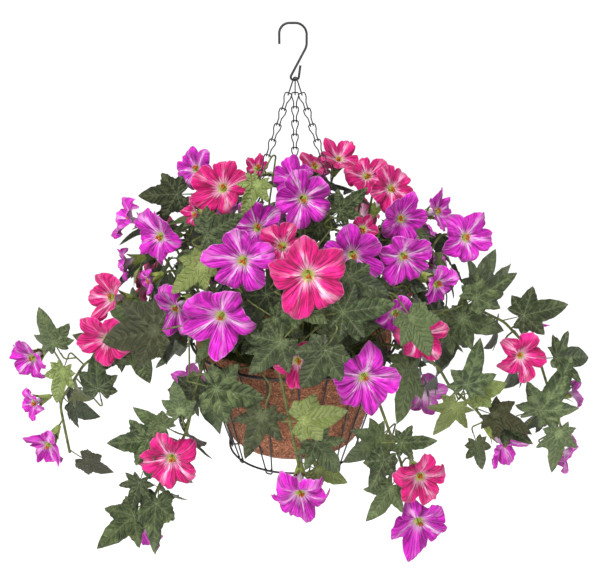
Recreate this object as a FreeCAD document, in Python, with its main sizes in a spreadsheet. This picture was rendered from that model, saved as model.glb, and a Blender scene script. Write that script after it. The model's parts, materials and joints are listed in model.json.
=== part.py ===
import FreeCAD, Part
import heapq
import math
import os
from FreeCAD import Placement, Rotation, Vector

# Artificial petunia hanging basket, in millimetres.
# The origin is where the hook bears on its support, +Z is up, and the front of the basket faces -Y.

doc = FreeCAD.newDocument("hanging_basket")

# ---------------------------------------------------------------- driving dimensions
DIMENSIONS = {
    "hook_wire": 3.0,
    "hook_bend": 17.5,
    "hook_drop": 26.0,
    "hook_length": 71.0,
    "loop_bend": 4.8,
    "chain_wire": 1.6,
    "link_pitch": 21.0,
    "link_half_width": 4.4,
    "leg_half_gap": 1.9,
    "ring_play": 1.2,
    "link_count": 16.0,
    "rim_radius": 145.0,
    "rim_height": -429.0,
    "rim_wire": 4.0,
    "base_radius": 95.0,
    "basket_depth": 165.0,
    "rib_wire": 2.2,
    "base_wire": 3.0,
    "rib_pairs": 11.0,
    "liner_wall": 8.0,
    "liner_gap": 1.0,
    "liner_lift": 14.0,
    "foam_top": -446.0,
    "stem_wire": 3.2,
    "vine_wire": 3.8,
    "petiole_wire": 2.2,
    "leaf_thickness": 1.0,
    "leaf_fold": 9.0,
    "petal_thickness": 1.0,
    "tube_share": 0.6,
    "tube_mouth": 5.2,
    "calyx_length": 14.0,
    "vine_lift": 10.0,
    "vine_press": 3.0,
}
sheet = doc.addObject("Spreadsheet::Sheet", "dimensions")
for row, (alias, number) in enumerate(DIMENSIONS.items(), start=1):
    sheet.set("A%d" % row, alias)
    sheet.set("B%d" % row, str(number))
    sheet.setAlias("B%d" % row, alias)
doc.recompute()


def dim(alias):
    return float(sheet.get(alias))


def cell(alias):
    return "dimensions.%s" % alias


# ---------------------------------------------------------------- general geometry
UP = Vector(0, 0, 1)
GOLDEN_ANGLE = 137.5


def polar(radius, azimuth, height):
    turn = math.radians(azimuth)
    return Vector(radius * math.cos(turn), radius * math.sin(turn), height)


def unit(vector):
    return Vector(vector).normalize()


def rounded_path(points, bends):
    """Straight runs joined by tangent arcs, as edges. bends is a radius for each inner point, or one for all."""
    if not isinstance(bends, (list, tuple)):
        bends = [bends] * (len(points) - 2)
    edges = []
    here = points[0]
    for before, corner, after, bend in zip(points, points[1:], points[2:], bends):
        back = unit(before - corner)
        ahead = unit(after - corner)
        half_turn = (math.pi - back.getAngle(ahead)) / 2
        if half_turn < 0.01:
            continue
        reach = min((before - corner).Length, (after - corner).Length) / 2
        tangent = min(bend * math.tan(half_turn), reach)
        radius = tangent / math.tan(half_turn)
        start = corner + back * tangent
        end = corner + ahead * tangent
        inward = unit(back + ahead)
        middle = corner + inward * (radius / math.cos(half_turn) - radius)
        if (start - here).Length > 0.01:
            edges.append(Part.LineSegment(here, start).toShape())
        edges.append(Part.Arc(start, middle, end).toShape())
        here = end
    if (points[-1] - here).Length > 0.01:
        edges.append(Part.LineSegment(here, points[-1]).toShape())
    return edges


def rod(points, bends, diameter):
    """A round wire bent along a path."""
    path = Part.Wire(rounded_path(points, bends))
    start = path.Edges[0].valueAt(path.Edges[0].FirstParameter)
    along = path.Edges[0].tangentAt(path.Edges[0].FirstParameter)
    section = Part.Wire(Part.makeCircle(diameter / 2, start, along))
    wire = path.makePipeShell([section], True, False)
    expected = math.pi * diameter**2 / 4 * path.Length
    if abs(wire.Volume / expected - 1) > 0.08:
        raise ValueError("a bent wire has the wrong volume: %.1f for %.1f" % (wire.Volume, expected))
    return wire


def frame_placement(origin, x_axis, y_axis, z_axis):
    return Placement(origin, Rotation(x_axis, y_axis, z_axis, "ZYX"))


def placed(shape, placement):
    copy = shape.copy()
    copy.Placement = placement.multiply(copy.Placement)
    return copy


# ---------------------------------------------------------------- named sub-parts
parts = []


def add_group(label, solids):
    """One node: pieces of one kind, kept as separate solids."""
    feature = doc.addObject("Part::Feature", label)
    feature.Label = label
    feature.Shape = solids[0] if len(solids) == 1 else Part.makeCompound(solids)
    parts.append(feature)
    return feature


def add_ring(label, radius, wire, height):
    """A welded round ring, bound to the sheet."""
    ring = doc.addObject("Part::Torus", label)
    ring.Label = label
    ring.setExpression("Radius1", radius)
    ring.setExpression("Radius2", "%s / 2" % wire)
    ring.setExpression("Placement.Base.z", height)
    parts.append(ring)
    return ring


def add_turned(label, outline):
    """A PartDesign body turned about Z from a closed outline of (radius, height) points."""
    body = doc.addObject("PartDesign::Body", label)
    body.Label = label
    sketch = body.newObject("Sketcher::SketchObject", label + "_outline")
    planes = [feature for feature in body.Origin.OriginFeatures if feature.Role == "XZ_Plane"]
    sketch.AttachmentSupport = (planes[0], [""])
    sketch.MapMode = "FlatFace"
    flat = [Vector(radius, height, 0) for radius, height in outline]
    for start, end in zip(flat, flat[1:] + flat[:1]):
        sketch.addGeometry(Part.LineSegment(start, end), False)
    turned = body.newObject("PartDesign::Revolution", label + "_turn")
    turned.Profile = sketch
    turned.ReferenceAxis = (sketch, ["V_Axis"])
    turned.Angle = 360.0
    parts.append(body)
    return body


# ---------------------------------------------------------------- hook
# A question-mark hook bent in the XZ plane. Its shank folds up at the bottom into a teardrop loop.
HOOK_CENTRE_LINE_TOP = dim("hook_wire") / 2
LOOP_BOTTOM = HOOK_CENTRE_LINE_TOP - dim("hook_length")
LOOP_LEFT = -5.5
LOOP_RIGHT = 7.0


def make_hook():
    bend = dim("hook_bend")
    top = HOOK_CENTRE_LINE_TOP
    tip = Vector(-bend, 0, top - dim("hook_drop"))
    return rod(
        [
            tip,
            Vector(-bend, 0, top),
            Vector(bend, 0, top),
            Vector(bend, 0, top - 1.65 * bend),
            Vector(LOOP_LEFT, 0, LOOP_BOTTOM),
            Vector(LOOP_RIGHT, 0, LOOP_BOTTOM),
            Vector(9.5, 0, LOOP_BOTTOM + 18.5),
        ],
        [bend, bend, bend, dim("loop_bend"), dim("loop_bend")],
        dim("hook_wire"),
    )


add_group("hook", [make_hook()])

# ---------------------------------------------------------------- chains
# Three chains hang in the hook's loop and spread to the rim: left, right and back.
CHAIN_AZIMUTHS = {"left": -150.0, "right": -30.0, "back": 90.0}
LOOP_CENTRE = Vector(2.75, 0, LOOP_BOTTOM + dim("loop_bend"))
SIT_RADIUS = dim("loop_bend") - dim("hook_wire") / 2 - dim("chain_wire") / 2 - 0.3
SIT_ANGLES = {"left": -45.0, "back": 0.0, "right": 45.0}


def chain_start(side):
    turn = math.radians(SIT_ANGLES[side])
    return LOOP_CENTRE + Vector(SIT_RADIUS * math.sin(turn), 0, -SIT_RADIUS * math.cos(turn))


def chain_frame(side):
    """Where a chain starts, which way it runs, and the direction across its links."""
    start = chain_start(side)
    clip_top = polar(dim("rim_radius"), CHAIN_AZIMUTHS[side], dim("rim_height"))
    along = unit(clip_top - start)
    across = unit(Vector(1, 0, 0) - along * along.x)
    return start, along, across, (clip_top - start).Length


RING_HANG = dim("chain_wire") + dim("ring_play")


def make_top_ring(side, length):
    """The teardrop ring that hangs in the loop, edge-on to the front."""
    start, along, across, _ = chain_frame(side)
    deep = unit(along.cross(across))
    foot = 2.6
    shoulder = dim("link_half_width") - 0.4

    def at(sideways, down):
        return start + deep * sideways + along * down

    points = [
        at(0, 0),
        at(shoulder, 0),
        at(shoulder, length * 0.42),
        at(foot, length + RING_HANG),
        at(-foot, length + RING_HANG),
        at(-shoulder, length * 0.42),
        at(-shoulder, 0),
        at(-0.05, 0),
    ]
    return rod(points, [2.2, 3.0, 2.4, 2.4, 3.0, 2.2], dim("chain_wire"))


def make_link(length, wrap):
    """An open link: a wide top bar, two legs drawing together, and ends folded round the next bar.
    It runs down -Z, is wide along X, and wrap is the fold's radius."""
    half = dim("link_half_width")
    leg = dim("leg_half_gap")

    def side_points(sign):
        return [
            Vector(sign * half, 0, 0),
            Vector(sign * half, 0, -0.3 * length),
            Vector(sign * leg, -wrap, -0.62 * length),
            Vector(sign * leg, -wrap, -length - wrap),
            Vector(sign * leg, wrap, -length - wrap),
            Vector(sign * leg, wrap, -length + wrap + 1.6),
        ]

    points = side_points(-1)[::-1] + side_points(1)
    bends = [wrap, wrap, 3.0, 3.0, 2.2, 2.2, 3.0, 3.0, wrap, wrap]
    return rod(points, bends, dim("chain_wire"))


def chain_solids(side, first, count, link):
    start, along, across, _ = chain_frame(side)
    deep = unit((along * -1).cross(across))
    solids = []
    for number in range(first, first + count):
        top = start + along * (dim("link_pitch") * number)
        solids.append(placed(link, frame_placement(top, across, deep, along * -1)))
    return solids


LINK = make_link(dim("link_pitch"), 2.1)
RING_LENGTH = dim("link_pitch")
add_group("top_rings", [make_top_ring(side, RING_LENGTH) for side in CHAIN_AZIMUTHS])
for side_name in CHAIN_AZIMUTHS:
    add_group(
        "chain_" + side_name,
        chain_solids(side_name, 1, int(dim("link_count")), LINK),
    )


def make_rim_clip(side):
    """The last link, which wraps the rim."""
    start, along, _, run = chain_frame(side)
    reach = run - dim("link_pitch") * (1 + int(dim("link_count")))
    outward = polar(1, CHAIN_AZIMUTHS[side], 0)
    tangent = UP.cross(outward)
    clip = make_link(reach, dim("rim_wire") / 2 + dim("chain_wire") / 2 + 0.3)
    top = start + along * (run - reach)
    across_rim = unit(tangent - along * along.dot(tangent))
    return placed(clip, frame_placement(top, across_rim, unit((along * -1).cross(across_rim)), along * -1))


add_group("rim_clips", [make_rim_clip(side) for side in CHAIN_AZIMUTHS])

# ---------------------------------------------------------------- wire basket
add_ring("rim_ring", cell("rim_radius"), cell("rim_wire"), cell("rim_height"))
add_ring(
    "base_ring",
    cell("base_radius"),
    cell("base_wire"),
    "%s - %s" % (cell("rim_height"), cell("basket_depth")),
)
BASE_HEIGHT = dim("rim_height") - dim("basket_depth")
RIB_TOP = dim("rim_height") + 2
RIB_TOP_RADIUS = dim("rim_radius") - dim("rim_wire") / 2 - dim("rib_wire") / 2
RIB_BASE_RADIUS = dim("base_radius") - dim("base_wire") / 2 - dim("rib_wire") / 2


def make_rib():
    """A hairpin: two legs from the rim draw together and join in a small loop under the base ring."""
    top_half_angle = 8.0
    base_half_angle = 3.0
    eye_drop = 7.0
    return rod(
        [
            polar(RIB_TOP_RADIUS, top_half_angle, RIB_TOP),
            polar(RIB_BASE_RADIUS, base_half_angle, BASE_HEIGHT),
            polar(RIB_BASE_RADIUS - 1, base_half_angle, BASE_HEIGHT - eye_drop),
            polar(RIB_BASE_RADIUS - 1, -base_half_angle, BASE_HEIGHT - eye_drop),
            polar(RIB_BASE_RADIUS, -base_half_angle, BASE_HEIGHT),
            polar(RIB_TOP_RADIUS, -top_half_angle, RIB_TOP),
        ],
        [6.0, 3.5, 3.5, 6.0],
        dim("rib_wire"),
    )


# Turned a little so that no rib meets a chain's clip.
RIB_TURN = 2.5


def make_ribs():
    rib = make_rib()
    count = int(dim("rib_pairs"))
    return [
        placed(rib, Placement(Vector(0, 0, 0), Rotation(UP, 360.0 * (number + 0.5) / count + RIB_TURN)))
        for number in range(count)
    ]


add_group("ribs", make_ribs())


def make_base_wires():
    """Two straight wires cross under the liner, one bent just over the other."""
    inner = dim("base_radius") - dim("base_wire") / 2
    lift = dim("rib_wire") * 1.2
    straight = rod(
        [Vector(-inner, 0, BASE_HEIGHT), Vector(0, 0, BASE_HEIGHT), Vector(inner, 0, BASE_HEIGHT)],
        1.0,
        dim("rib_wire"),
    )
    over = rod(
        [
            Vector(0, -inner, BASE_HEIGHT),
            Vector(0, -12, BASE_HEIGHT),
            Vector(0, -5, BASE_HEIGHT + lift),
            Vector(0, 5, BASE_HEIGHT + lift),
            Vector(0, 12, BASE_HEIGHT),
            Vector(0, inner, BASE_HEIGHT),
        ],
        4.0,
        dim("rib_wire"),
    )
    turn = Placement(Vector(0, 0, 0), Rotation(UP, 90.0 / int(dim("rib_pairs"))))
    return [placed(straight, turn), placed(over, turn)]


add_group("base_cross_wires", make_base_wires())


def rib_radius(height):
    share = (height - BASE_HEIGHT) / (RIB_TOP - BASE_HEIGHT)
    return RIB_BASE_RADIUS + (RIB_TOP_RADIUS - RIB_BASE_RADIUS) * share


def liner_radius(height):
    return rib_radius(height) - dim("rib_wire") / 2 - dim("liner_gap")


LINER_BOTTOM = BASE_HEIGHT + dim("liner_lift")
LINER_TOP = dim("rim_height") + 10.0
LINER_OUTSIDE = [
    (0.0, LINER_BOTTOM),
    (liner_radius(LINER_BOTTOM) - 16, LINER_BOTTOM),
    (liner_radius(LINER_BOTTOM) - 7, LINER_BOTTOM + 3),
    (liner_radius(LINER_BOTTOM + 10) - 2, LINER_BOTTOM + 10),
    (liner_radius(LINER_BOTTOM + 24), LINER_BOTTOM + 24),
    (liner_radius(dim("rim_height")), dim("rim_height")),
    (liner_radius(dim("rim_height")), LINER_TOP),
]
LINER_INSIDE = [
    (liner_radius(dim("rim_height")) - dim("liner_wall"), LINER_TOP),
    (liner_radius(dim("rim_height")) - dim("liner_wall"), dim("rim_height")),
    (liner_radius(LINER_BOTTOM + 24) - dim("liner_wall"), LINER_BOTTOM + 26),
    (liner_radius(LINER_BOTTOM) - 19, LINER_BOTTOM + dim("liner_wall")),
    (0.0, LINER_BOTTOM + dim("liner_wall")),
]
add_turned("coco_liner", LINER_OUTSIDE + LINER_INSIDE)

FOAM_GAP = 0.5
FOAM_OUTLINE = [
    (0.0, LINER_BOTTOM + dim("liner_wall") + FOAM_GAP),
    (liner_radius(LINER_BOTTOM) - 20, LINER_BOTTOM + dim("liner_wall") + FOAM_GAP),
    (liner_radius(LINER_BOTTOM + 24) - dim("liner_wall") - 1.5, LINER_BOTTOM + 27),
    (liner_radius(dim("foam_top")) - dim("liner_wall") - 1.5, dim("foam_top")),
    (0.0, dim("foam_top") + 8),
]
add_turned("foam_block", FOAM_OUTLINE)

# ---------------------------------------------------------------- space kept clear between pieces
CELL = 5.0


def rotated(points, pivot, axis, angle):
    turn = Placement(Vector(0, 0, 0), Rotation(axis, angle), pivot)
    return [turn.multVec(point) for point in points]


def cells_of(points):
    return {
        (round(point.x / CELL), round(point.y / CELL), round(point.z / CELL)) for point in points
    }


def widened(cells):
    wide = set(cells)
    for i, j, k in cells:
        wide.update(
            [(i + 1, j, k), (i - 1, j, k), (i, j + 1, k), (i, j - 1, k), (i, j, k + 1), (i, j, k - 1)]
        )
    return wide


def chain_points():
    """Points over the three chains, for the space they take."""
    points = []
    for side in CHAIN_AZIMUTHS:
        start, along, across, run = chain_frame(side)
        for step in range(int(run / 4)):
            for aside in (-1, 0, 1):
                points.append(start + along * (4 * step) + across * (aside * dim("link_half_width")))
    return points


def in_basket(point):
    """Whether a point is in the wire basket or on its rim."""
    return math.hypot(point.x, point.y) < dim("rim_radius") + 7 and point.z < LINER_TOP + 5


class Branch:
    """A body's stems, leaves and flowers, with the space they take at rest and while the body moves."""

    def __init__(self, name, pivot=None, axis=None):
        self.name = name
        self.pivot = pivot
        self.axis = axis
        self.rest = set()
        self.leaf_rest = {"leaves": set(), "leaves_lime": set()}
        self.swept = set()
        self.runs = []
        self.solids = {}

    def angles(self):
        if self.pivot is None:
            return [0.0]
        lift = dim("vine_lift")
        return [-dim("vine_press"), 0.0, lift / 3, 2 * lift / 3, lift]

    def swept_cells(self, points):
        cells = set()
        for angle in self.angles():
            turned = points if angle == 0.0 else rotated(points, self.pivot, self.axis, angle)
            cells |= cells_of(turned)
        return cells

    def take(self, points):
        self.rest |= cells_of(points)
        self.swept |= self.swept_cells(points)

    def take_leaf(self, kind, points):
        self.leaf_rest[kind] |= cells_of(points)
        self.swept |= self.swept_cells(points)

    def has_room(self, kind, points):
        """A leaf keeps a cell clear of everything except leaves of its own kind, which it may nearly touch."""
        own = cells_of(points)
        wide = widened(own)
        if not own.isdisjoint(self.leaf_rest[kind]) or not wide.isdisjoint(self.rest):
            return False
        if any(not wide.isdisjoint(cells) for other, cells in self.leaf_rest.items() if other != kind):
            return False
        return not self.meets_another(points)

    def meets_another(self, points):
        """Whether points on this branch come near another body at any angle."""
        swept = widened(self.swept_cells(points))
        return any(other is not self and not swept.isdisjoint(other.swept) for other in branches)

    def keep(self, kind, solid):
        self.solids.setdefault(kind, []).append(solid)


branches = []
# Cells that stems go round: the chains, and every flower.
kept_clear = cells_of(chain_points())


# ---------------------------------------------------------------- leaves
# Half of an ivy-like blade of length 1, from the stalk round to the tip: five lobes with a few teeth.
HALF_LEAF = [
    (0.00, 0.00),
    (0.10, -0.13),
    (0.27, -0.17),
    (0.50, -0.04),
    (0.40, 0.13),
    (0.58, 0.40),
    (0.45, 0.43),
    (0.27, 0.52),
    (0.29, 0.66),
    (0.14, 0.83),
    (0.00, 1.00),
]
LEAF_SIZES = [48.0, 58.0, 68.0, 78.0, 92.0]
PETIOLES = [14.0, 24.0, 36.0]


def make_leaf(length, petiole):
    """A blade folded a little along its midrib, with its stalk. Base at the origin, tip along +Y, face up."""
    thickness = dim("leaf_thickness")
    halves = []
    for sign in (-1, 1):
        corners = [Vector(sign * x * length, y * length, -thickness / 2) for x, y in HALF_LEAF]
        face = Part.Face(Part.makePolygon(corners + corners[:1]))
        half = face.extrude(Vector(0, 0, thickness))
        half.rotate(Vector(0, 0, 0), Vector(0, 1, 0), -sign * dim("leaf_fold"))
        halves.append(half)
    midrib = Part.makeCylinder(
        dim("petiole_wire") / 2,
        petiole + 0.92 * length,
        Vector(0, -petiole, -0.3),
        Vector(0, 1, 0),
    )
    leaf = halves[0].multiFuse([halves[1], midrib])
    return leaf.Solids[0]


LEAVES = {(length, petiole): make_leaf(length, petiole) for length in LEAF_SIZES for petiole in PETIOLES}


def leaf_grid(length):
    """Points spread over the blade, for the space it takes."""
    grid = []
    rows = int(length / 4) + 1
    for row in range(-2, rows + 1):
        y = row * length / rows
        reach = 0.0
        for (x1, y1), (x2, y2) in zip(HALF_LEAF, HALF_LEAF[1:]):
            low, high = sorted((y1 * length, y2 * length))
            if low <= y <= high and high > low:
                share = (y - y1 * length) / (y2 * length - y1 * length)
                reach = max(reach, (x1 + (x2 - x1) * share) * length)
        steps = int(reach / 4) + 1
        for step in range(-steps, steps + 1):
            grid.append(Vector(reach * step / steps, y, 0))
    return grid


LEAF_GRIDS = {length: leaf_grid(length) for length in LEAF_SIZES}


def leaf_placement(root, tip_direction, facing, petiole):
    along = unit(tip_direction)
    face = unit(facing - along * along.dot(facing))
    return frame_placement(root + along * petiole, unit(along.cross(face)), along, face)


def add_leaf(branch, kind, root, tip_direction, facing, length, petiole):
    """Hang a leaf by its stalk from the point root, if it has room. Returns whether it was added."""
    length = min(LEAF_SIZES, key=lambda size: abs(size - length))
    petiole = min(PETIOLES, key=lambda size: abs(size - petiole))
    placement = leaf_placement(root, tip_direction, facing, petiole)
    points = [placement.multVec(point) for point in LEAF_GRIDS[length]]
    if any(in_basket(point) for point in points) or not branch.has_room(kind, points):
        return False
    branch.take_leaf(kind, points)
    branch.keep(kind, placed(LEAVES[length, petiole], placement))
    return True


# ---------------------------------------------------------------- flowers
def make_corolla(diameter):
    """A trumpet with five round lobes. The mouth's middle is at the origin and it faces +Z."""
    radius = diameter / 2
    length = dim("tube_share") * diameter
    wall = dim("petal_thickness")
    mouth = dim("tube_mouth")
    outside = [Vector(3.6, 0, -length), Vector(mouth, 0, -0.5 * length)]
    flare_out = Vector(0.42 * radius, 0, -0.17 * length)
    past_rim = 1.05 * radius
    rim_out = Vector(past_rim, 0, 0)
    rim_in = Vector(past_rim, 0, wall)
    flare_in = flare_out + Vector(-0.7 * wall, 0, wall)
    inside = [Vector(mouth - wall, 0, -0.5 * length), Vector(3.6 - wall, 0, -length)]
    edges = [
        Part.LineSegment(outside[0], outside[1]).toShape(),
        Part.Arc(outside[1], flare_out, rim_out).toShape(),
        Part.LineSegment(rim_out, rim_in).toShape(),
        Part.Arc(rim_in, flare_in, inside[0]).toShape(),
        Part.LineSegment(inside[0], inside[1]).toShape(),
        Part.LineSegment(inside[1], outside[0]).toShape(),
    ]
    trumpet = Part.Face(Part.Wire(edges)).revolve(Vector(0, 0, 0), UP, 360)
    if trumpet.Volume < 0:
        trumpet.reverse()
    lobe_offset = 0.52 * radius
    lobe_radius = 0.48 * radius
    notch = lobe_offset * math.cos(math.radians(36)) + math.sqrt(
        lobe_radius**2 - (lobe_offset * math.sin(math.radians(36))) ** 2
    )
    arcs = []
    for lobe in range(5):
        turn = 72.0 * lobe
        arcs.append(
            Part.Arc(
                polar(notch, turn - 36, -length - 2),
                polar(lobe_offset + lobe_radius, turn, -length - 2),
                polar(notch, turn + 36, -length - 2),
            ).toShape()
        )
    lobes = Part.Face(Part.Wire(arcs)).extrude(Vector(0, 0, length + 2 * wall + 4))
    return trumpet.common(lobes).Solids[0]


def make_calyx(length):
    """The green cup that the trumpet sits in."""
    cup = dim("calyx_length")
    return Part.makeCone(2.4, 6.2, cup, Vector(0, 0, -length - 0.45 * cup), UP)


def make_stamen(length):
    """A thin rod up the tube with the stigma's knob in the throat."""
    rod_part = Part.makeCylinder(1.1, 0.66 * length, Vector(0, 0, -length), UP)
    knob = Part.makeSphere(3.4, Vector(0, 0, -0.33 * length))
    return rod_part.fuse(knob).Solids[0]


FLOWER_SIZES = [36.0, 50.0, 64.0, 72.0, 80.0, 88.0, 102.0]
FLOWERS = {
    size: (
        make_corolla(size),
        make_calyx(dim("tube_share") * size),
        make_stamen(dim("tube_share") * size),
    )
    for size in FLOWER_SIZES
}


def flower_points(size):
    """Points spread over the trumpet, for the space it takes."""
    length = dim("tube_share") * size
    points = []
    profile = [(0.12, -1.0), (0.14, -0.75), (0.16, -0.5), (0.3, -0.25), (0.45, -0.15)]
    profile += [(0.6, -0.08), (0.75, -0.03), (0.88, 0.0), (1.0, 0.02)]
    for share, down in profile:
        radius = share * size / 2
        count = max(6, int(2 * math.pi * radius / 4))
        points += [polar(radius, 360.0 * n / count, down * length) for n in range(count)]
    return points


FLOWER_POINTS = {size: flower_points(size) for size in FLOWER_SIZES}


def look_direction(yaw, pitch):
    """yaw 0 looks to the front (-Y), positive to +X; pitch is upward."""
    side = math.radians(yaw)
    rise = math.radians(pitch)
    return Vector(
        math.sin(side) * math.cos(rise), -math.cos(side) * math.cos(rise), math.sin(rise)
    )


def add_flower(branch, colour, mouth, forward, size, roll):
    """Put a flower at mouth, looking forward. Returns the point where its stem enters the calyx."""
    size = min(FLOWER_SIZES, key=lambda other: abs(other - size))
    turn = Rotation(UP, forward).multiply(Rotation(UP, roll))
    placement = Placement(mouth, turn)
    corolla, calyx, stamen = FLOWERS[size]
    branch.keep("petals_" + colour, placed(corolla, placement))
    branch.keep("calyxes", placed(calyx, placement))
    branch.keep("stamens", placed(stamen, placement))
    points = [placement.multVec(point) for point in FLOWER_POINTS[size]]
    branch.take(points)
    kept_clear.update(branch.swept_cells(points))
    return mouth - forward * (dim("tube_share") * size + 0.45 * dim("calyx_length") - 4)


# ---------------------------------------------------------------- stems
def sampled(path, step=3.0):
    wire = Part.Wire(path)
    return wire.discretize(Number=max(3, int(wire.Length / step)))


def add_stem(branch, points, diameter, bend=40.0):
    """A wired stem along a path. Its sampled line is kept for the leaves that grow from it."""
    path = rounded_path(points, bend)
    branch.keep("stems", rod(points, bend, diameter))
    line = sampled(path)
    branch.runs.append(line)
    branch.take(line)
    return line


def stem_tangent(line, index):
    return unit(line[min(index + 1, len(line) - 1)] - line[max(index - 1, 0)])


# ---------------------------------------------------------------- the mound
MOUND_CENTRE = Vector(0, -10, -400)
MOUND_AXES = Vector(255, 240, 220)

bush = Branch("bush")
bush.take(chain_points())
branches.append(bush)


def mound_normal(point):
    away = point - MOUND_CENTRE
    return unit(Vector(away.x / MOUND_AXES.x**2, away.y / MOUND_AXES.y**2, away.z / MOUND_AXES.z**2))


def mound_share(point):
    """1 on the mound's surface, 0 at its centre."""
    away = point - MOUND_CENTRE
    return math.sqrt(
        (away.x / MOUND_AXES.x) ** 2 + (away.y / MOUND_AXES.y) ** 2 + (away.z / MOUND_AXES.z) ** 2
    )


# colour, mouth (x, y, z), yaw, pitch, diameter: the flowers of the mound's front and crown.
MOUND_FLOWERS = [
    ("pink", (-95, -60, -195), -15, 25, 92),
    ("purple", (-140, 20, -185), -35, 35, 64),
    ("pink", (-130, -90, -225), -60, 10, 36),
    ("pink", (-50, 10, -182), -10, 50, 36),
    ("purple", (-2, -36, -186), -12, 40, 64),
    ("purple", (15, -98, -205), 5, 10, 80),
    ("pink", (65, 40, -172), 20, 55, 64),
    ("pink", (31, 24, -180), 10, 55, 50),
    ("pink", (100, 0, -190), 5, 40, 64),
    ("pink", (135, -20, -208), 20, 15, 72),
    ("purple", (145, -75, -235), 20, 15, 72),
    ("purple", (140, -140, -271), 12, -5, 80),
    ("purple", (208, 10, -245), 50, 20, 64),
    ("purple", (230, -72, -262), 22, 10, 80),
    ("purple", (73, -155, -262), 0, 8, 80),
    ("purple", (190, -120, -315), 30, -10, 64),
    ("purple", (130, -150, -345), 10, -20, 64),
    ("pink", (18, -230, -266), 0, 2, 102),
    ("pink", (-14, -165, -243), -10, 25, 64),
    ("purple", (-64, -192, -259), -15, 5, 88),
    ("purple", (-46, -125, -229), -8, 30, 72),
    ("purple", (-92, -194, -332), -15, -5, 88),
    ("purple", (-155, -132, -343), -25, -8, 72),
    ("purple", (-182, -80, -258), -38, 10, 80),
    ("purple", (-232, -20, -247), -75, 20, 64),
    ("purple", (-238, -10, -316), -70, -10, 50),
    ("purple", (-190, -100, -312), -50, -10, 36),
    ("pink", (5, -215, -377), -5, -5, 64),
    ("pink", (88, -120, -236), 10, 20, 36),
    ("purple", (90, -208, -406), 12, -10, 88),
    ("pink", (162, -150, -373), 15, -5, 72),
]


def back_flowers():
    """The far side carries flowers too, in rows on the mound, none of them in line with the back chain."""
    flowers = []
    rows = [
        (28.0, 64, (30, 60, 90, 120, 150)),
        (50.0, 72, (40, 81, 140)),
        (8.0, 80, (27.5, 52.5, 77.5, 102.5, 127.5, 152.5)),
    ]
    turn = 0
    for elevation, size, azimuths in rows:
        for azimuth in azimuths:
            rise = math.radians(elevation + 5 * math.sin(2.4 * turn))
            around = math.radians(azimuth)
            mouth = MOUND_CENTRE + Vector(
                1.02 * MOUND_AXES.x * math.cos(rise) * math.cos(around),
                1.02 * MOUND_AXES.y * math.cos(rise) * math.sin(around),
                1.02 * MOUND_AXES.z * math.sin(rise),
            )
            forward = unit(mound_normal(mouth) + Vector(0, 0, 0.15 * math.sin(3.1 * turn)))
            colour = "pink" if turn % 3 == 1 else "purple"
            flowers.append((colour, mouth, forward, size))
            turn += 1
    return flowers


def bush_stem_points(joint, forward, swing):
    """From the foam, out under the foliage, and up the flower's own axis. swing moves its middle aside."""
    level = Vector(joint.x, joint.y, 0)
    outward = unit(level + Vector(0.01, 0, 0))
    spread = min(0.42 * level.Length, 0.62 * dim("rim_radius"))
    root = outward * spread + Vector(0, 0, dim("foam_top") - 22)
    elbow = joint - forward * 26
    rise = root + Vector(0, 0, 26) + (elbow - root) * 0.12
    middle = (rise + elbow) * 0.5 + unit(Vector(elbow.x, elbow.y, 1)) * 0.06 * (elbow - rise).Length
    middle = middle + UP.cross(outward) * swing.x - outward * swing.y
    return [root, rise, middle, elbow, joint]


SWINGS = [Vector(0, 0, 0)] + [
    Vector(aside * sign, inward, 0)
    for inward in (0, 14, 28, 42)
    for aside in (8, 16, 26, 38, 52)
    for sign in (1, -1)
]


def crowding(points):
    """How many cells of a stem's free length are in a flower."""
    line = sampled(rounded_path(points, 40.0))
    return len(widened(cells_of(line[8:-10])) & kept_clear)


def plant_bush_stem(joint, forward):
    choices = [bush_stem_points(joint, forward, swing) for swing in SWINGS]
    best = None
    for points in choices:
        crossed = crowding(points)
        if best is None or crossed < best[0]:
            best = (crossed, points)
        if crossed == 0:
            break
    add_stem(bush, best[1], dim("stem_wire"))


bush_joints = []
for flower_number, (colour, place, yaw, pitch, size) in enumerate(MOUND_FLOWERS):
    forward = look_direction(yaw, pitch)
    joint = add_flower(bush, colour, Vector(*place), forward, size, 23.0 * flower_number)
    bush_joints.append((joint, forward))
for flower_number, (colour, mouth, forward, size) in enumerate(back_flowers()):
    joint = add_flower(bush, colour, mouth, forward, size, 31.0 * flower_number)
    bush_joints.append((joint, forward))

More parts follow.
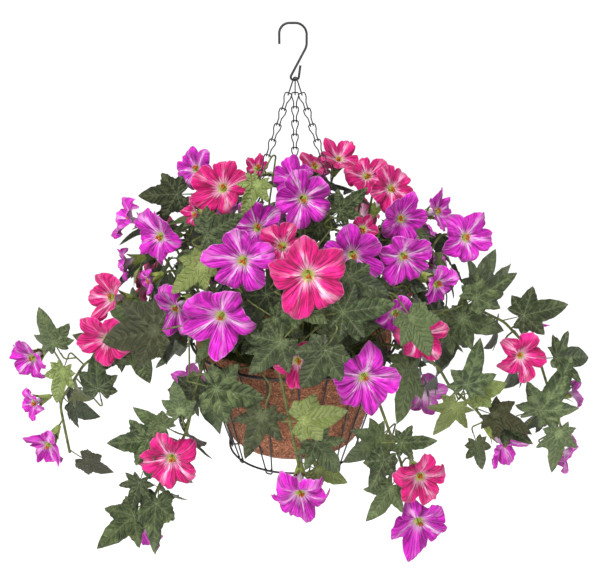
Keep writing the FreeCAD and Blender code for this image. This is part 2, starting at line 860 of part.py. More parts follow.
# ---------------------------------------------------------------- trailing vines
# Each vine bends at a knuckle beside the rim. Points after the knuckle are (x, y, z).
# Flowers are colour, mouth, yaw, pitch, diameter.
VINES = [
    {
        "name": "vine_far_left",
        "azimuth": -172.0,
        "points": [(-225, -55, -400), (-290, -50, -450), (-330, -45, -510), (-322, -45, -590)],
        "flowers": [
            ("pink", (-250, -85, -338), -45, 15, 72),
            ("pink", (-248, -125, -388), -20, 0, 80),
            ("purple", (-380, -20, -459), -22, 0, 72),
            ("purple", (-382, -20, -526), -40, 0, 50),
            ("purple", (-358, -50, -587), -15, -22, 72),
        ],
        "lime": 2,
    },
    {
        "name": "vine_left",
        "azimuth": -132.0,
        "points": [(-120, -165, -425), (-135, -165, -490), (-165, -160, -550), (-192, -150, -612)],
        "flowers": [
            ("pink", (-156, -195, -522), -5, 0, 80),
            ("purple", (-218, -140, -666), -20, -38, 88),
        ],
        "lime": 0,
    },
    {
        "name": "vine_front",
        "azimuth": -96.0,
        "points": [(-10, -195, -425), (0, -205, -475), (8, -205, -520)],
        "flowers": [("purple", (9, -222, -562), 0, -28, 88)],
        "lime": 3,
    },
    {
        "name": "vine_front_right",
        "azimuth": -62.0,
        "points": [(102, -175, -430), (122, -180, -485), (138, -175, -530), (150, -170, -590)],
        "flowers": [
            ("pink", (165, -200, -546), 10, 0, 80),
            ("purple", (170, -165, -642), 5, -15, 88),
        ],
        "lime": 0,
    },
    {
        "name": "vine_right",
        "azimuth": -34.0,
        "points": [(182, -120, -410), (205, -110, -452), (246, -100, -494), (278, -95, -535)],
        "flowers": [("purple", (300, -95, -559), 42, -22, 72)],
        "lime": 2,
    },
    {
        "name": "vine_far_right",
        "azimuth": -6.0,
        "points": [(235, -35, -365), (290, -35, -392), (346, -25, -452), (378, -15, -535), (395, -10, -575)],
        "flowers": [
            ("pink", (313, -75, -429), 20, 5, 72),
            ("purple", (345, 10, -398), 60, 40, 50),
            ("purple", (415, -5, -616), 65, -10, 64),
            ("purple", (424, 15, -525), 80, 10, 50),
        ],
        "lime": 0,
    },
    {
        "name": "vine_back_right",
        "azimuth": 50.0,
        "points": [(150, 180, -400), (195, 225, -460), (215, 245, -530), (220, 250, -600)],
        "flowers": [
            ("pink", (185, 275, -470), 140, 10, 80),
            ("purple", (235, 265, -650), 140, -35, 80),
        ],
        "lime": 0,
    },
    {
        "name": "vine_back_left",
        "azimuth": 122.0,
        "points": [(-120, 190, -400), (-155, 245, -455), (-170, 270, -525), (-175, 275, -590)],
        "flowers": [
            ("purple", (-140, 300, -480), -160, 10, 80),
            ("purple", (-190, 290, -640), -150, -35, 80),
        ],
        "lime": 0,
    },
]
KNUCKLE_RADIUS = 3.6
KNUCKLE_LENGTH = 9.0
KNUCKLE_REACH = 168.0
KNUCKLE_HEIGHT = -404.0


def nearest_on(line, point):
    return min(range(len(line)), key=lambda index: (line[index] - point).Length)


def make_knuckle(pivot, axis):
    return Part.makeCylinder(
        KNUCKLE_RADIUS, KNUCKLE_LENGTH, pivot - axis * (KNUCKLE_LENGTH / 2), axis
    )


def add_side_stem(branch, main, joint, forward):
    """A twig from the vine to a flower, meeting the calyx along its axis."""
    elbow = joint - forward * 14
    foot = main[nearest_on(main, elbow + Vector(0, 0, 18))]
    if (foot - elbow).Length < 6:
        elbow = joint - forward * 6
    middle = (foot + elbow) * 0.5 + Vector(0, 0, 4)
    add_stem(branch, [foot, middle, elbow, joint], dim("petiole_wire") + 0.4, 14.0)


def grow_vine(vine, number):
    outward = polar(1, vine["azimuth"], 0)
    axis = unit(outward.cross(UP))
    pivot = polar(KNUCKLE_REACH, vine["azimuth"], KNUCKLE_HEIGHT)
    branch = Branch(vine["name"], pivot, axis)
    branches.append(branch)
    root = polar(0.55 * dim("rim_radius"), vine["azimuth"], dim("foam_top") - 20)
    over_rim = polar(0.8 * dim("rim_radius"), vine["azimuth"], KNUCKLE_HEIGHT - 4)
    stub_end = pivot - outward * (KNUCKLE_RADIUS + 0.4)
    add_stem(bush, [root, over_rim, stub_end], dim("vine_wire"))
    points = [pivot] + [Vector(*point) for point in vine["points"]]
    main = add_stem(branch, points, dim("vine_wire"))
    stem = branch.solids["stems"].pop()
    branch.keep("stems", stem.fuse(make_knuckle(pivot, axis)).Solids[0])
    for place, (colour, mouth, yaw, pitch, size) in enumerate(vine["flowers"]):
        forward = look_direction(yaw, pitch)
        joint = add_flower(branch, colour, Vector(*mouth), forward, size, 31.0 * (place + number))
        add_side_stem(branch, main, joint, forward)
    return branch, main


vine_stems = [grow_vine(vine, number) for number, vine in enumerate(VINES)]
for joint, forward in bush_joints:
    plant_bush_stem(joint, forward)


# ---------------------------------------------------------------- leaves that show
# Branch, kind, where the blade begins, and where its tip points.
SHOWN_LEAVES = [
    ("bush", "leaves_lime", (-40, -110, -178), (-64, -122, -222)),
    ("bush", "leaves_lime", (-104, -170, -263), (-148, -178, -302)),
    ("bush", "leaves", (-145, 0, -222), (-200, -5, -222)),
    ("bush", "leaves", (-210, -25, -256), (-262, -30, -308)),
    ("bush", "leaves", (44, -68, -194), (102, -78, -172)),
    ("bush", "leaves", (78, -20, -210), (40, -10, -170)),
    ("bush", "leaves", (58, -95, -222), (95, -100, -190)),
    ("bush", "leaves", (36, -80, -236), (20, -100, -266)),
    ("bush", "leaves", (62, -200, -270), (115, -215, -292)),
    ("bush", "leaves", (68, -190, -322), (45, -200, -358)),
    ("bush", "leaves", (148, -140, -335), (208, -150, -318)),
    ("bush", "leaves", (220, -60, -376), (286, -70, -392)),
    ("bush", "leaves", (236, -60, -350), (295, -66, -310)),
    ("bush", "leaves", (-30, -186, -368), (-64, -196, -335)),
    ("bush", "leaves", (-100, -180, -422), (-35, -194, -432)),
    ("bush", "leaves", (-36, -192, -448), (-60, -200, -512)),
    ("bush", "leaves", (-12, -192, -350), (-70, -200, -366)),
    ("bush", "leaves", (-30, -190, -296), (-62, -200, -345)),
    ("bush", "leaves", (52, -190, -318), (122, -195, -304)),
    ("bush", "leaves", (-225, -60, -305), (-265, -65, -364)),
    ("bush", "leaves", (10, -120, -212), (40, -140, -262)),
    ("bush", "leaves", (-110, -140, -238), (-70, -165, -210)),
    ("bush", "leaves", (-95, -185, -300), (-130, -190, -262)),
    ("vine_front", "leaves_lime", (8, -218, -444), (62, -222, -434)),
    ("vine_front", "leaves_lime", (4, -218, -458), (-10, -222, -505)),
    ("vine_front", "leaves", (24, -214, -476), (60, -220, -522)),
    ("vine_front", "leaves", (-4, -212, -520), (-34, -216, -566)),
    ("vine_far_right", "leaves", (232, -70, -320), (318, -85, -345)),
    ("vine_far_right", "leaves", (215, -85, -362), (286, -95, -392)),
    ("vine_far_right", "leaves", (345, -40, -530), (396, -52, -446)),
    ("vine_far_right", "leaves", (375, -40, -552), (370, -46, -620)),
    ("vine_far_right", "leaves", (352, -40, -440), (400, -50, -480)),
    ("vine_far_left", "leaves_lime", (-310, -70, -444), (-328, -74, -496)),
    ("vine_far_left", "leaves", (-238, -66, -426), (-310, -72, -400)),
    ("vine_far_left", "leaves", (-270, -76, -480), (-276, -80, -420)),
    ("vine_far_left", "leaves", (-300, -64, -520), (-368, -68, -484)),
    ("vine_far_left", "leaves", (-294, -62, -536), (-314, -72, -634)),
    ("vine_far_left", "leaves", (-325, -40, -425), (-345, -46, -374)),
    ("vine_far_left", "leaves", (-205, -110, -392), (-190, -118, -448)),
    ("vine_left", "leaves", (-135, -186, -452), (-140, -192, -410)),
    ("vine_left", "leaves", (-160, -172, -482), (-196, -178, -458)),
    ("vine_left", "leaves", (-180, -176, -498), (-240, -184, -502)),
    ("vine_left", "leaves", (-196, -170, -524), (-144, -178, -582)),
    ("vine_left", "leaves", (-198, -166, -560), (-212, -172, -598)),
    ("vine_left", "leaves", (-168, -160, -614), (-158, -166, -690)),
    ("vine_front_right", "leaves", (120, -190, -490), (72, -200, -532)),
    ("vine_front_right", "leaves", (130, -190, -518), (108, -198, -584)),
    ("vine_front_right", "leaves", (128, -196, -486), (180, -204, -480)),
    ("vine_right", "leaves_lime", (235, -112, -462), (282, -118, -446)),
    ("vine_right", "leaves_lime", (226, -112, -482), (200, -118, -528)),
    ("vine_right", "leaves", (220, -118, -450), (240, -124, -382)),
    ("vine_right", "leaves", (225, -112, -503), (268, -118, -576)),
    ("vine_right", "leaves", (266, -100, -552), (282, -106, -602)),
    ("vine_right", "leaves", (216, -118, -470), (180, -124, -488)),
]
SHIFTS = [0, -6, 6, -12, -18, 12, -26, -34, 18, -44]
BY_NAME = {branch.name: branch for branch in branches}


def nearest_stem_points(branch, point, deeper, count):
    spots = [spot for line in branch.runs for spot in line[2:-TWIG_END:2]]
    if deeper:
        spots = [spot for spot in spots if mound_share(spot) < mound_share(point) - 0.04]
        spots = [spot for spot in spots if spot.z > dim("foam_top") + 4]
    return heapq.nsmallest(count, spots, key=lambda spot: (spot - point).Length)


# A twig's first points may lie beside the flower whose stem it leaves.
TWIG_START = 4
TWIG_END = 7
TWIG_BEND = 25.0
SHORTEST_TWIG = 4.0
LONGEST_TWIG = 120.0


def free_twig(branch, foot, end, direction):
    """The points of a twig from a stem to a leaf's stalk, or None if it is too long or meets something."""
    if not SHORTEST_TWIG < (foot - end).Length < LONGEST_TWIG:
        return None
    middle = end - direction * 0.3 * (end - foot).Length
    points = [foot, middle, end + direction * 1.5]
    free = sampled(rounded_path(points, TWIG_BEND))[TWIG_START:-2]
    if not widened(cells_of(free)).isdisjoint(kept_clear) or branch.meets_another(free):
        return None
    return points


def add_leaf_on_twig(branch, kind, base, tip, facing, length, choices=1):
    """A leaf whose blade begins at base, on a twig from one of the branch's nearest stem points."""
    petiole = PETIOLES[0]
    direction = unit(tip - base)
    end = base - direction * petiole
    for foot in nearest_stem_points(branch, end, branch is bush, choices):
        points = free_twig(branch, foot, end, direction)
        if points is None:
            continue
        if not add_leaf(branch, kind, end, direction, facing, length, petiole):
            return False
        add_stem(branch, points, dim("petiole_wire"), TWIG_BEND)
        return True
    return False


def add_shown_leaves():
    for name, kind, base, tip in SHOWN_LEAVES:
        base = Vector(*base)
        tip = Vector(*tip)
        facing = Vector(0, -1, 0.3) + unit(Vector(base.x, base.y, 0)) * 0.25
        for shift in SHIFTS:
            away = unit(facing) * shift
            if add_leaf_on_twig(
                BY_NAME[name], kind, base + away, tip + away, facing, (tip - base).Length, 60
            ):
                break


add_shown_leaves()


def stalk_in_flower(root, direction, petiole):
    """Whether a leaf's stalk, past its first few millimetres, would go through a flower."""
    stalk = [root + direction * reach for reach in range(5, int(petiole), 2)]
    return not cells_of(stalk).isdisjoint(kept_clear)


def leaf_the_vine(vine, branch, main, number):
    """Leaves stand off the vine in turn, most of them facing outward."""
    outward = polar(1, vine["azimuth"], 0)
    lime_left = vine["lime"] - len(branch.solids.get("leaves_lime", []))
    for index in range(4, len(main), 4):
        along = stem_tangent(main, index)
        for turn in range(8):
            angle = GOLDEN_ANGLE * (index / 4 + number) + 45.0 * turn
            around = Rotation(along, angle)
            side = around.multVec(unit(along.cross(outward + Vector(0.01, 0.02, 0))))
            direction = unit(side + along * 0.55 + Vector(0, 0, -0.25))
            facing = outward + Vector(0, -0.35, 0.25) + side * 0.3
            length = LEAF_SIZES[(index // 4 + number) % 3 + (1 if index < len(main) / 2 else 0)]
            petiole = PETIOLES[(index + turn) % 2]
            if stalk_in_flower(main[index], direction, petiole):
                continue
            kind = "leaves"
            if lime_left > 0 and index > len(main) / 3:
                kind = "leaves_lime"
            if add_leaf(branch, kind, main[index], direction, facing, length, petiole):
                if kind == "leaves_lime":
                    lime_left -= 1
                break


for vine_number, (vine, (branch, main)) in enumerate(zip(VINES, vine_stems)):
    leaf_the_vine(vine, branch, main, vine_number)

# ---------------------------------------------------------------- the mound's leaves
LIME_EVERY = 19
FRONT_EDGE = -90.0
FRONT_HEM = -352.0


def cover_the_mound():
    """Leaves lie along the mound like shingles, in an even spiral, wherever there is room."""
    spots = 330
    tried = 0
    for share in (0.95, 0.87, 0.78, 0.68):
        for spot in range(spots):
            order = (spot * 89) % spots
            rise = math.asin(-0.12 + 1.1 * (order + 0.5) / spots)
            around = math.radians(GOLDEN_ANGLE * order)
            base = MOUND_CENTRE + Vector(
                share * MOUND_AXES.x * math.cos(rise) * math.cos(around),
                share * MOUND_AXES.y * math.cos(rise) * math.sin(around),
                share * MOUND_AXES.z * math.sin(rise),
            )
            if base.y < FRONT_EDGE and base.z < FRONT_HEM:
                continue
            normal = mound_normal(base)
            downhill = unit(normal * normal.z - UP)
            for size in LEAF_SIZES[::-1]:
                tried += 1
                lean = 70.0 * math.sin(2.1 * tried)
                direction = Rotation(normal, lean).multVec(downhill)
                direction = unit(direction + normal * (0.25 + 0.30 * math.sin(1.7 * tried)))
                facing = normal + UP * 0.25 + direction.cross(normal) * 0.65 * math.sin(1.3 * tried)
                kind = "leaves_lime" if tried % LIME_EVERY == 0 else "leaves"
                tip = base + direction * size
                if add_leaf_on_twig(bush, kind, base, tip, facing, size):
                    break


cover_the_mound()


def leaf_the_stems():
    """Smaller leaves grow straight from the stems inside the mound."""
    rows = [0.9, 0.78, 0.64, 0.5]
    flower_stems = bush.runs[len(VINES) : len(VINES) + len(bush_joints)]
    for share in rows:
        for run_number, line in enumerate(flower_stems):
            root = line[int(share * (len(line) - 1))]
            if root.z < dim("rim_height") - 8:
                continue
            normal = mound_normal(root)
            for turn in range(4):
                angle = GOLDEN_ANGLE * (run_number + 3 * turn) + 71 * share
                sideways = Rotation(normal, angle).multVec(unit(normal.cross(Vector(0.1, 0.2, 1))))
                direction = unit(sideways + normal * (0.75 - 0.35 * share) + Vector(0, 0, -0.3))
                facing = normal + Vector(0, -0.2, 0.35) + sideways * 0.25
                length = LEAF_SIZES[2] if turn < 2 else LEAF_SIZES[0]
                if add_leaf(bush, "leaves", root, direction, facing, length, PETIOLES[turn % 2 + 1]):
                    break


leaf_the_stems()

# ---------------------------------------------------------------- plant nodes
for branch in branches:
    for kind in sorted(branch.solids):
        solids = branch.solids[kind]
        if kind == "calyxes" and branch is not bush:
            continue
        if kind == "stems" and branch is not bush:
            solids = solids + branch.solids["calyxes"]
        add_group("%s_%s" % (branch.name, kind), solids)

# ---------------------------------------------------------------- checks and files
doc.recompute()
for item in doc.Objects:
    if "Invalid" in item.State or "Error" in item.State:
        raise RuntimeError("%s failed: %s" % (item.Label, item.State))
for part in parts:
    if part.Shape.isNull() or not part.Shape.isValid():
        raise RuntimeError("%s has no valid shape" % part.Label)
    if not part.Shape.Solids:
        raise RuntimeError("%s has no solid" % part.Label)
os.makedirs("parts", exist_ok=True)
for part in parts:
    part.Shape.exportStep("parts/%s.step" % part.Label)
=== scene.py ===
import itertools
import json
import math

import bpy
import numpy as np
from mathutils import Matrix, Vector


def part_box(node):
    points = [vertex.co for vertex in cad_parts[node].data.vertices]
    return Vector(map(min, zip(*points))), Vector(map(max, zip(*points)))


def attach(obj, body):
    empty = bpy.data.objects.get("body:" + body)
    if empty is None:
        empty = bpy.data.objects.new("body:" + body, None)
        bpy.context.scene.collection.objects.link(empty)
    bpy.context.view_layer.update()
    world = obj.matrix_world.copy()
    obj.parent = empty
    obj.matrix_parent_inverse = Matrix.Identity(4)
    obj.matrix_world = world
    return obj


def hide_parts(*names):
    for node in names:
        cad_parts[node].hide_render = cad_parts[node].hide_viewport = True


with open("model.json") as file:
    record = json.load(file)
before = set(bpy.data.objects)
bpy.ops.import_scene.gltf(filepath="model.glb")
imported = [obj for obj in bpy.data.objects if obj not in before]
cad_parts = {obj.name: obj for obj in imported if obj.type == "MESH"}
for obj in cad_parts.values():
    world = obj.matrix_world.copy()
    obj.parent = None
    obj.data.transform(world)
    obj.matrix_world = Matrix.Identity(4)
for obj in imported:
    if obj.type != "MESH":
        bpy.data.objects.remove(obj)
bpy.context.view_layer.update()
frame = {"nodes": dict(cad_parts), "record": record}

# An artificial petunia hanging basket, in metres. +Z is up, the front faces -Y,
# and the origin is where the hook bears.

MM = 0.001
UP = np.array([0.0, 0.0, 1.0])
BODIES = frame["record"]["behaviour"]["bodies"]
BODY_OF = {node: body for body, nodes in BODIES.items() for node in nodes}
LOBES = 5


def dice(name, number=0):
    """Random numbers that depend only on a piece's name and number."""
    return np.random.default_rng([sum(map(ord, name)), len(name), number])


def unit(vector):
    return vector / np.linalg.norm(vector)


# ---------------------------------------------------------------- reading the frame
WELD = 2e-6


def node_arrays(node):
    """The node's points and triangles, with split seams welded."""
    mesh = frame["nodes"][node].data
    mesh.calc_loop_triangles()
    points = np.empty(3 * len(mesh.vertices))
    mesh.vertices.foreach_get("co", points)
    points = points.reshape(-1, 3)
    triangles = np.empty(3 * len(mesh.loop_triangles), dtype=np.int32)
    mesh.loop_triangles.foreach_get("vertices", triangles)
    keys = np.round(points / WELD).astype(np.int64)
    _, first, same = np.unique(keys, axis=0, return_index=True, return_inverse=True)
    return points[first], same.reshape(-1)[triangles.reshape(-1, 3)]


def solids(node):
    """The node's separate solids, each as its own points and triangles."""
    points, triangles = node_arrays(node)
    label = np.arange(len(points))
    while True:
        lowest = label[triangles].min(axis=1)
        spread_label = label.copy()
        for corner in range(3):
            np.minimum.at(spread_label, triangles[:, corner], lowest)
        spread_label = spread_label[spread_label]
        if np.array_equal(spread_label, label):
            break
        label = spread_label
    found = []
    for value in np.unique(label[triangles[:, 0]]):
        own = triangles[label[triangles[:, 0]] == value]
        used, renumbered = np.unique(own, return_inverse=True)
        found.append((points[used], renumbered.reshape(-1, 3)))
    return found


def spread(points, triangles):
    """A surface's centre and its principal directions, thinnest first."""
    corners = [points[triangles[:, k]] for k in range(3)]
    area = np.linalg.norm(np.cross(corners[1] - corners[0], corners[2] - corners[0]), axis=1) / 2
    middle = sum(corners) / 3
    centre = (middle * area[:, None]).sum(axis=0) / area.sum()
    moment = np.zeros((3, 3))
    for place, share in [(corner, 1 / 12) for corner in corners] + [(middle, 9 / 12)]:
        away = place - centre
        moment += np.einsum("n,ni,nj->ij", area * share, away, away)
    values, vectors = np.linalg.eigh(moment)
    return centre, values, vectors


TUBE_SHARE = 1.2  # the tube's length in mouth radii


def read_flower(points, triangles):
    """A trumpet's mouth, its directions (a lobe, sideways, forward) and its radius."""
    centre, values, vectors = spread(points, triangles)
    axis = vectors[:, 0] if values[1] - values[0] > values[2] - values[1] else vectors[:, 2]
    along = (points - centre) @ axis
    if along.max() > -along.min():
        axis = -axis
        along = -along
    offset = points - centre - along[:, None] * axis
    reach = np.linalg.norm(offset, axis=1)
    radius = reach.max()
    side = unit(np.cross(axis, UP + 0.1 * axis[::-1]))
    across = np.cross(axis, side)
    tips = reach > 0.97 * radius
    angle = np.arctan2(offset[tips] @ across, offset[tips] @ side)
    turn = np.angle(np.exp(1j * LOBES * angle).sum()) / LOBES
    lobe = math.cos(turn) * side + math.sin(turn) * across
    mouth = centre + axis * (along.min() + TUBE_SHARE * radius)
    return mouth, np.array([lobe, np.cross(axis, lobe), axis]), radius


# The CAD blade's side lobes (aside, along), its half width and its fold.
BLADE_LOBES = [(0.58, 0.40), (0.50, -0.04), (0.27, -0.17)]
BLADE_HALF_WIDTH = 0.58
BLADE_FOLD = math.radians(9.0)


def read_leaf(points, triangles):
    """A blade's base, its directions (sideways, tip, face), its length, and where its stalk ends."""
    centre, _, vectors = spread(points, triangles)
    best = None
    for tip_number, tip_sign, face_sign in itertools.product((2, 1), (-1, 1), (-1, 1)):
        tip = vectors[:, tip_number] * tip_sign
        face = vectors[:, 0] * face_sign
        side = np.cross(tip, face)
        along = (points - centre) @ tip
        wide = np.ptp((points - centre) @ side)
        length = wide / (2 * BLADE_HALF_WIDTH * math.cos(BLADE_FOLD))
        base = centre + tip * (along.max() - length)
        base = base + side * (((points - base) @ side).max() - wide / 2)
        error = 0.0
        for (x, y), sign in itertools.product(BLADE_LOBES, (-1, 1)):
            lobe = side * sign * x * math.cos(BLADE_FOLD) + tip * y
            lobe = base + length * (lobe + face * x * math.sin(BLADE_FOLD))
            error += np.linalg.norm(points - lobe, axis=1).min()
        if best is None or error < best[0]:
            best = (error, base, np.array([side, tip, face]), length, points[np.argmin(along)])
    return best[1:]


# ---------------------------------------------------------------- building meshes
PLAIN_TONE = (0.5, 0.5, 0.0, 0.0)


def tones(first, second, third):
    """A tone for each point, from two numbers and one row."""
    ones = np.ones(len(third))
    return np.stack([first * ones, second * ones, third, ones], axis=1)


class Sheet:
    """Points, faces, and for each point a tone, and for each face corner a place in the pattern."""

    def __init__(self):
        self.points = []
        self.faces = []
        self.patterns = []
        self.tones = []
        self.slots = []
        self.count = 0

    def add(self, points, groups, patterns=None, tone=PLAIN_TONE, slot=0):
        """groups holds quads and perhaps triangles. patterns holds one (u, v) row per face corner for each
        group, and tone is one row, or one per point."""
        self.points.append(points)
        self.tones.append(np.broadcast_to(np.asarray(tone, dtype=float), (len(points), 4)))
        for number, faces in enumerate(groups):
            pattern = patterns[number] if patterns else np.zeros((faces.size, 2))
            self.faces.append(faces + self.count)
            self.patterns.append(pattern.reshape(-1, 2))
            self.slots.append(np.full(len(faces), slot))
        self.count += len(points)

    def make(self, name, materials):
        points = np.concatenate(self.points)
        loops = np.concatenate([faces.reshape(-1) for faces in self.faces])
        sizes = np.concatenate([np.full(len(faces), faces.shape[1]) for faces in self.faces])
        mesh = bpy.data.meshes.new(name)
        mesh.vertices.add(len(points))
        mesh.vertices.foreach_set("co", points.reshape(-1))
        mesh.loops.add(len(loops))
        mesh.loops.foreach_set("vertex_index", loops.astype(np.int32))
        mesh.polygons.add(len(sizes))
        mesh.polygons.foreach_set("loop_start", (np.cumsum(sizes) - sizes).astype(np.int32))
        mesh.update(calc_edges=True)
        layer = mesh.uv_layers.new(name="pattern")
        layer.data.foreach_set("uv", np.concatenate(self.patterns).reshape(-1))
        tone = mesh.color_attributes.new("tone", "FLOAT_COLOR", "POINT")
        tone.data.foreach_set("color", np.concatenate(self.tones).reshape(-1))
        mesh.polygons.foreach_set("use_smooth", np.ones(len(sizes), dtype=bool))
        mesh.polygons.foreach_set("material_index", np.concatenate(self.slots).astype(np.int32))
        mesh.validate()
        piece = bpy.data.objects.new(name, mesh)
        bpy.context.collection.objects.link(piece)
        for material in materials:
            mesh.materials.append(material)
        return piece


def turned(radius, around, height):
    """Points at a radius and height for each angle round the third direction."""
    radius, around, height = np.broadcast_arrays(radius, around, height)
    return np.stack([radius * np.cos(around), radius * np.sin(around), height], axis=-1)


def full_turn(count):
    return np.arange(count) * 2 * math.pi / count


def grid_faces(rows, columns):
    """Quads over a grid of points, row after row, wrapping round."""
    row, column = np.meshgrid(np.arange(rows - 1) * columns, np.arange(columns), indexing="ij")
    row = row.reshape(-1)
    column = column.reshape(-1)
    after = (column + 1) % columns
    return np.stack([row + column, row + after, row + columns + after, row + columns + column], axis=1)


def end_fans(rows, columns):
    """Triangles from the two points that follow a grid to its first row and to its last row."""
    column = np.arange(columns)
    after = (column + 1) % columns
    last = (rows - 1) * columns
    centre = np.full(columns, rows * columns)
    first_fan = np.stack([centre, after, column], axis=1)
    last_fan = np.stack([centre + 1, last + column, last + after], axis=1)
    return np.concatenate([first_fan, last_fan])


def grid_normals(points):
    """Unit normals of a grid closed along its second direction."""
    around = np.roll(points, -1, axis=1) - np.roll(points, 1, axis=1)
    down = np.gradient(points, axis=0)
    normal = np.cross(around, down)
    return normal / np.maximum(np.linalg.norm(normal, axis=2, keepdims=True), 1e-12)


def closed_shell(points, thickness, pattern):
    """A closed thin wall over a ring-shaped grid: points, faces, pattern, and 1 for the back's points."""
    rows, columns, _ = points.shape
    normal = grid_normals(points)
    front = points + normal * thickness / 2
    back = points - normal * thickness / 2
    both = np.concatenate([front.reshape(-1, 3), back.reshape(-1, 3)])
    faces = grid_faces(rows, columns)
    size = rows * columns
    column = np.arange(columns)
    after = (column + 1) % columns
    last = (rows - 1) * columns
    rim = np.stack([last + column, last + after, size + last + after, size + last + column], axis=1)
    foot = np.stack([column, size + column, size + after, after], axis=1)
    every = np.concatenate([faces, faces[:, ::-1] + size, rim, foot])
    flat = np.concatenate([pattern.reshape(-1, 2), pattern.reshape(-1, 2)])
    corners = flat[every]
    turn = np.ptp(corners[:, :, 0], axis=1) > LOBES / 2
    wrapped = corners[:, :, 0] < LOBES / 2
    corners[:, :, 0] += LOBES * (turn[:, None] & wrapped)
    is_back = np.repeat([0.0, 1.0], size)
    return both, every, corners, is_back


def add_tube(sheet, points, radii, sides=6, tone=PLAIN_TONE, slot=0):
    """A closed round tube along a few points."""
    points = np.asarray(points, dtype=float)
    along = np.gradient(points, axis=0)
    along /= np.linalg.norm(along, axis=1, keepdims=True)
    helper = UP if abs(along[0] @ UP) < 0.9 else np.array([1.0, 0.0, 0.0])
    side = unit(np.cross(along[0], helper))
    turn = full_turn(sides)[:, None]
    rings = []
    for place, direction, radius in zip(points, along, np.broadcast_to(radii, len(points))):
        side = unit(side - direction * (side @ direction))
        across = np.cross(direction, side)
        rings.append(place + radius * (np.cos(turn) * side + np.sin(turn) * across))
    body = np.concatenate(rings + [points[:1], points[-1:]])
    groups = [grid_faces(len(points), sides), end_fans(len(points), sides)]
    sheet.add(body, groups, None, tone, slot)


def add_blob(sheet, centre, directions, sizes, rough, seed, tone=PLAIN_TONE):
    """A small closed lump, with its half-sizes in mm along three directions."""
    rings = 5
    sides = 9
    polar = np.linspace(0, math.pi, rings + 2)[1:-1, None]
    ball = turned(np.sin(polar), full_turn(sides), np.cos(polar)).reshape(-1, 3)
    ball = np.concatenate([ball, [[0, 0, 1], [0, 0, -1]]])
    ball = ball * (1 + rough * dice("blob", seed).uniform(-1, 1, (len(ball), 1)))
    placed = centre + (ball * np.array(sizes) * MM) @ directions
    sheet.add(placed, [grid_faces(rings, sides)[:, ::-1], end_fans(rings, sides)[:, ::-1]], None, tone)


# ---------------------------------------------------------------- shader building
class Shader:
    """A node material with one Principled shader, built step by step."""

    def __init__(self, name, **sockets):
        self.material = bpy.data.materials.new(name)
        self.material.use_nodes = True
        self.tree = self.material.node_tree
        self.surface = self.tree.nodes["Principled BSDF"]
        for socket, value in sockets.items():
            self.surface.inputs[socket.replace("_", " ")].default_value = value

    def feed(self, socket, value):
        if isinstance(value, bpy.types.NodeSocket):
            self.tree.links.new(value, socket)
        elif value is not None:
            socket.default_value = value

    def add(self, kind, output=0, inputs=(), **settings):
        node = self.tree.nodes.new("ShaderNode" + kind)
        for setting, value in settings.items():
            setattr(node, setting, value)
        for place, value in dict(inputs).items():
            self.feed(node.inputs[place], value)
        return node.outputs[output]

    def math(self, operation, first, second=None):
        return self.add("Math", inputs={0: first, 1: second}, operation=operation)

    def times(self, first, *others):
        for other in others:
            first = self.math("MULTIPLY", first, other)
        return first

    def plus(self, first, *others):
        for other in others:
            first = self.math("ADD", first, other)
        return first

    def minus(self, first, second):
        return self.math("SUBTRACT", first, second)

    def centred(self, value, width):
        """A value between 0 and 1, made to lie about 0 over a width."""
        return self.times(self.minus(value, 0.5), width)

    def smooth(self, value, low, high, to_low=0.0, to_high=1.0):
        return self.add(
            "MapRange",
            inputs={0: value, 1: low, 2: high, 3: to_low, 4: to_high},
            interpolation_type="SMOOTHSTEP",
        )

    def mix(self, factor, first, second):
        return self.add("Mix", output=2, inputs={0: factor, 6: first, 7: second}, data_type="RGBA")

    def layers(self, colour, *layers):
        """Each layer's colour laid over the last by its factor."""
        for factor, layer in layers:
            colour = self.mix(factor, colour, layer)
        return colour

    def noise(self, vector, scale, detail=3.0, roughness=0.6):
        return self.add("TexNoise", inputs={0: vector, 2: scale, 3: detail, 4: roughness})

    def vector(self, x, y, z=0.0):
        return self.add("CombineXYZ", inputs={0: x, 1: y, 2: z})

    def ramp(self, value, stops):
        node = self.tree.nodes.new("ShaderNodeValToRGB")
        elements = node.color_ramp.elements
        while len(elements) < len(stops):
            elements.new(0.5)
        for element, (place, colour) in zip(elements, stops):
            element.position = place
            element.color = colour
        self.feed(node.inputs[0], value)
        return node.outputs[0]

    def pattern(self):
        """The two pattern coordinates of a mesh made here."""
        place = self.add("UVMap", uv_map="pattern")
        split = self.tree.nodes.new("ShaderNodeSeparateXYZ")
        self.feed(split.inputs[0], place)
        return split.outputs[0], split.outputs[1]

    def tone(self):
        """The three tones of a mesh made here."""
        colour = self.add("Attribute", attribute_name="tone")
        split = self.tree.nodes.new("ShaderNodeSeparateColor")
        self.feed(split.inputs[0], colour)
        return split.outputs[0], split.outputs[1], split.outputs[2]

    def place(self):
        return self.add("TexCoord", output=3)

    def finish(self, colour, roughness, height, distance, strength=1.0):
        """Feed the surface, with height as a bump of a distance and strength."""
        self.feed(self.surface.inputs["Base Color"], colour)
        self.feed(self.surface.inputs["Roughness"], roughness)
        bump = self.add("Bump", inputs={"Strength": strength, "Distance": distance, "Height": height})
        self.feed(self.surface.inputs["Normal"], bump)
        return self.material


def rgb(red, green, blue):
    """A colour from display values, as a shader takes it."""
    display = np.array([red, green, blue])
    linear = np.where(display <= 0.04045, display / 12.92, ((display + 0.055) / 1.055) ** 2.4)
    return (*linear.tolist(), 1.0)


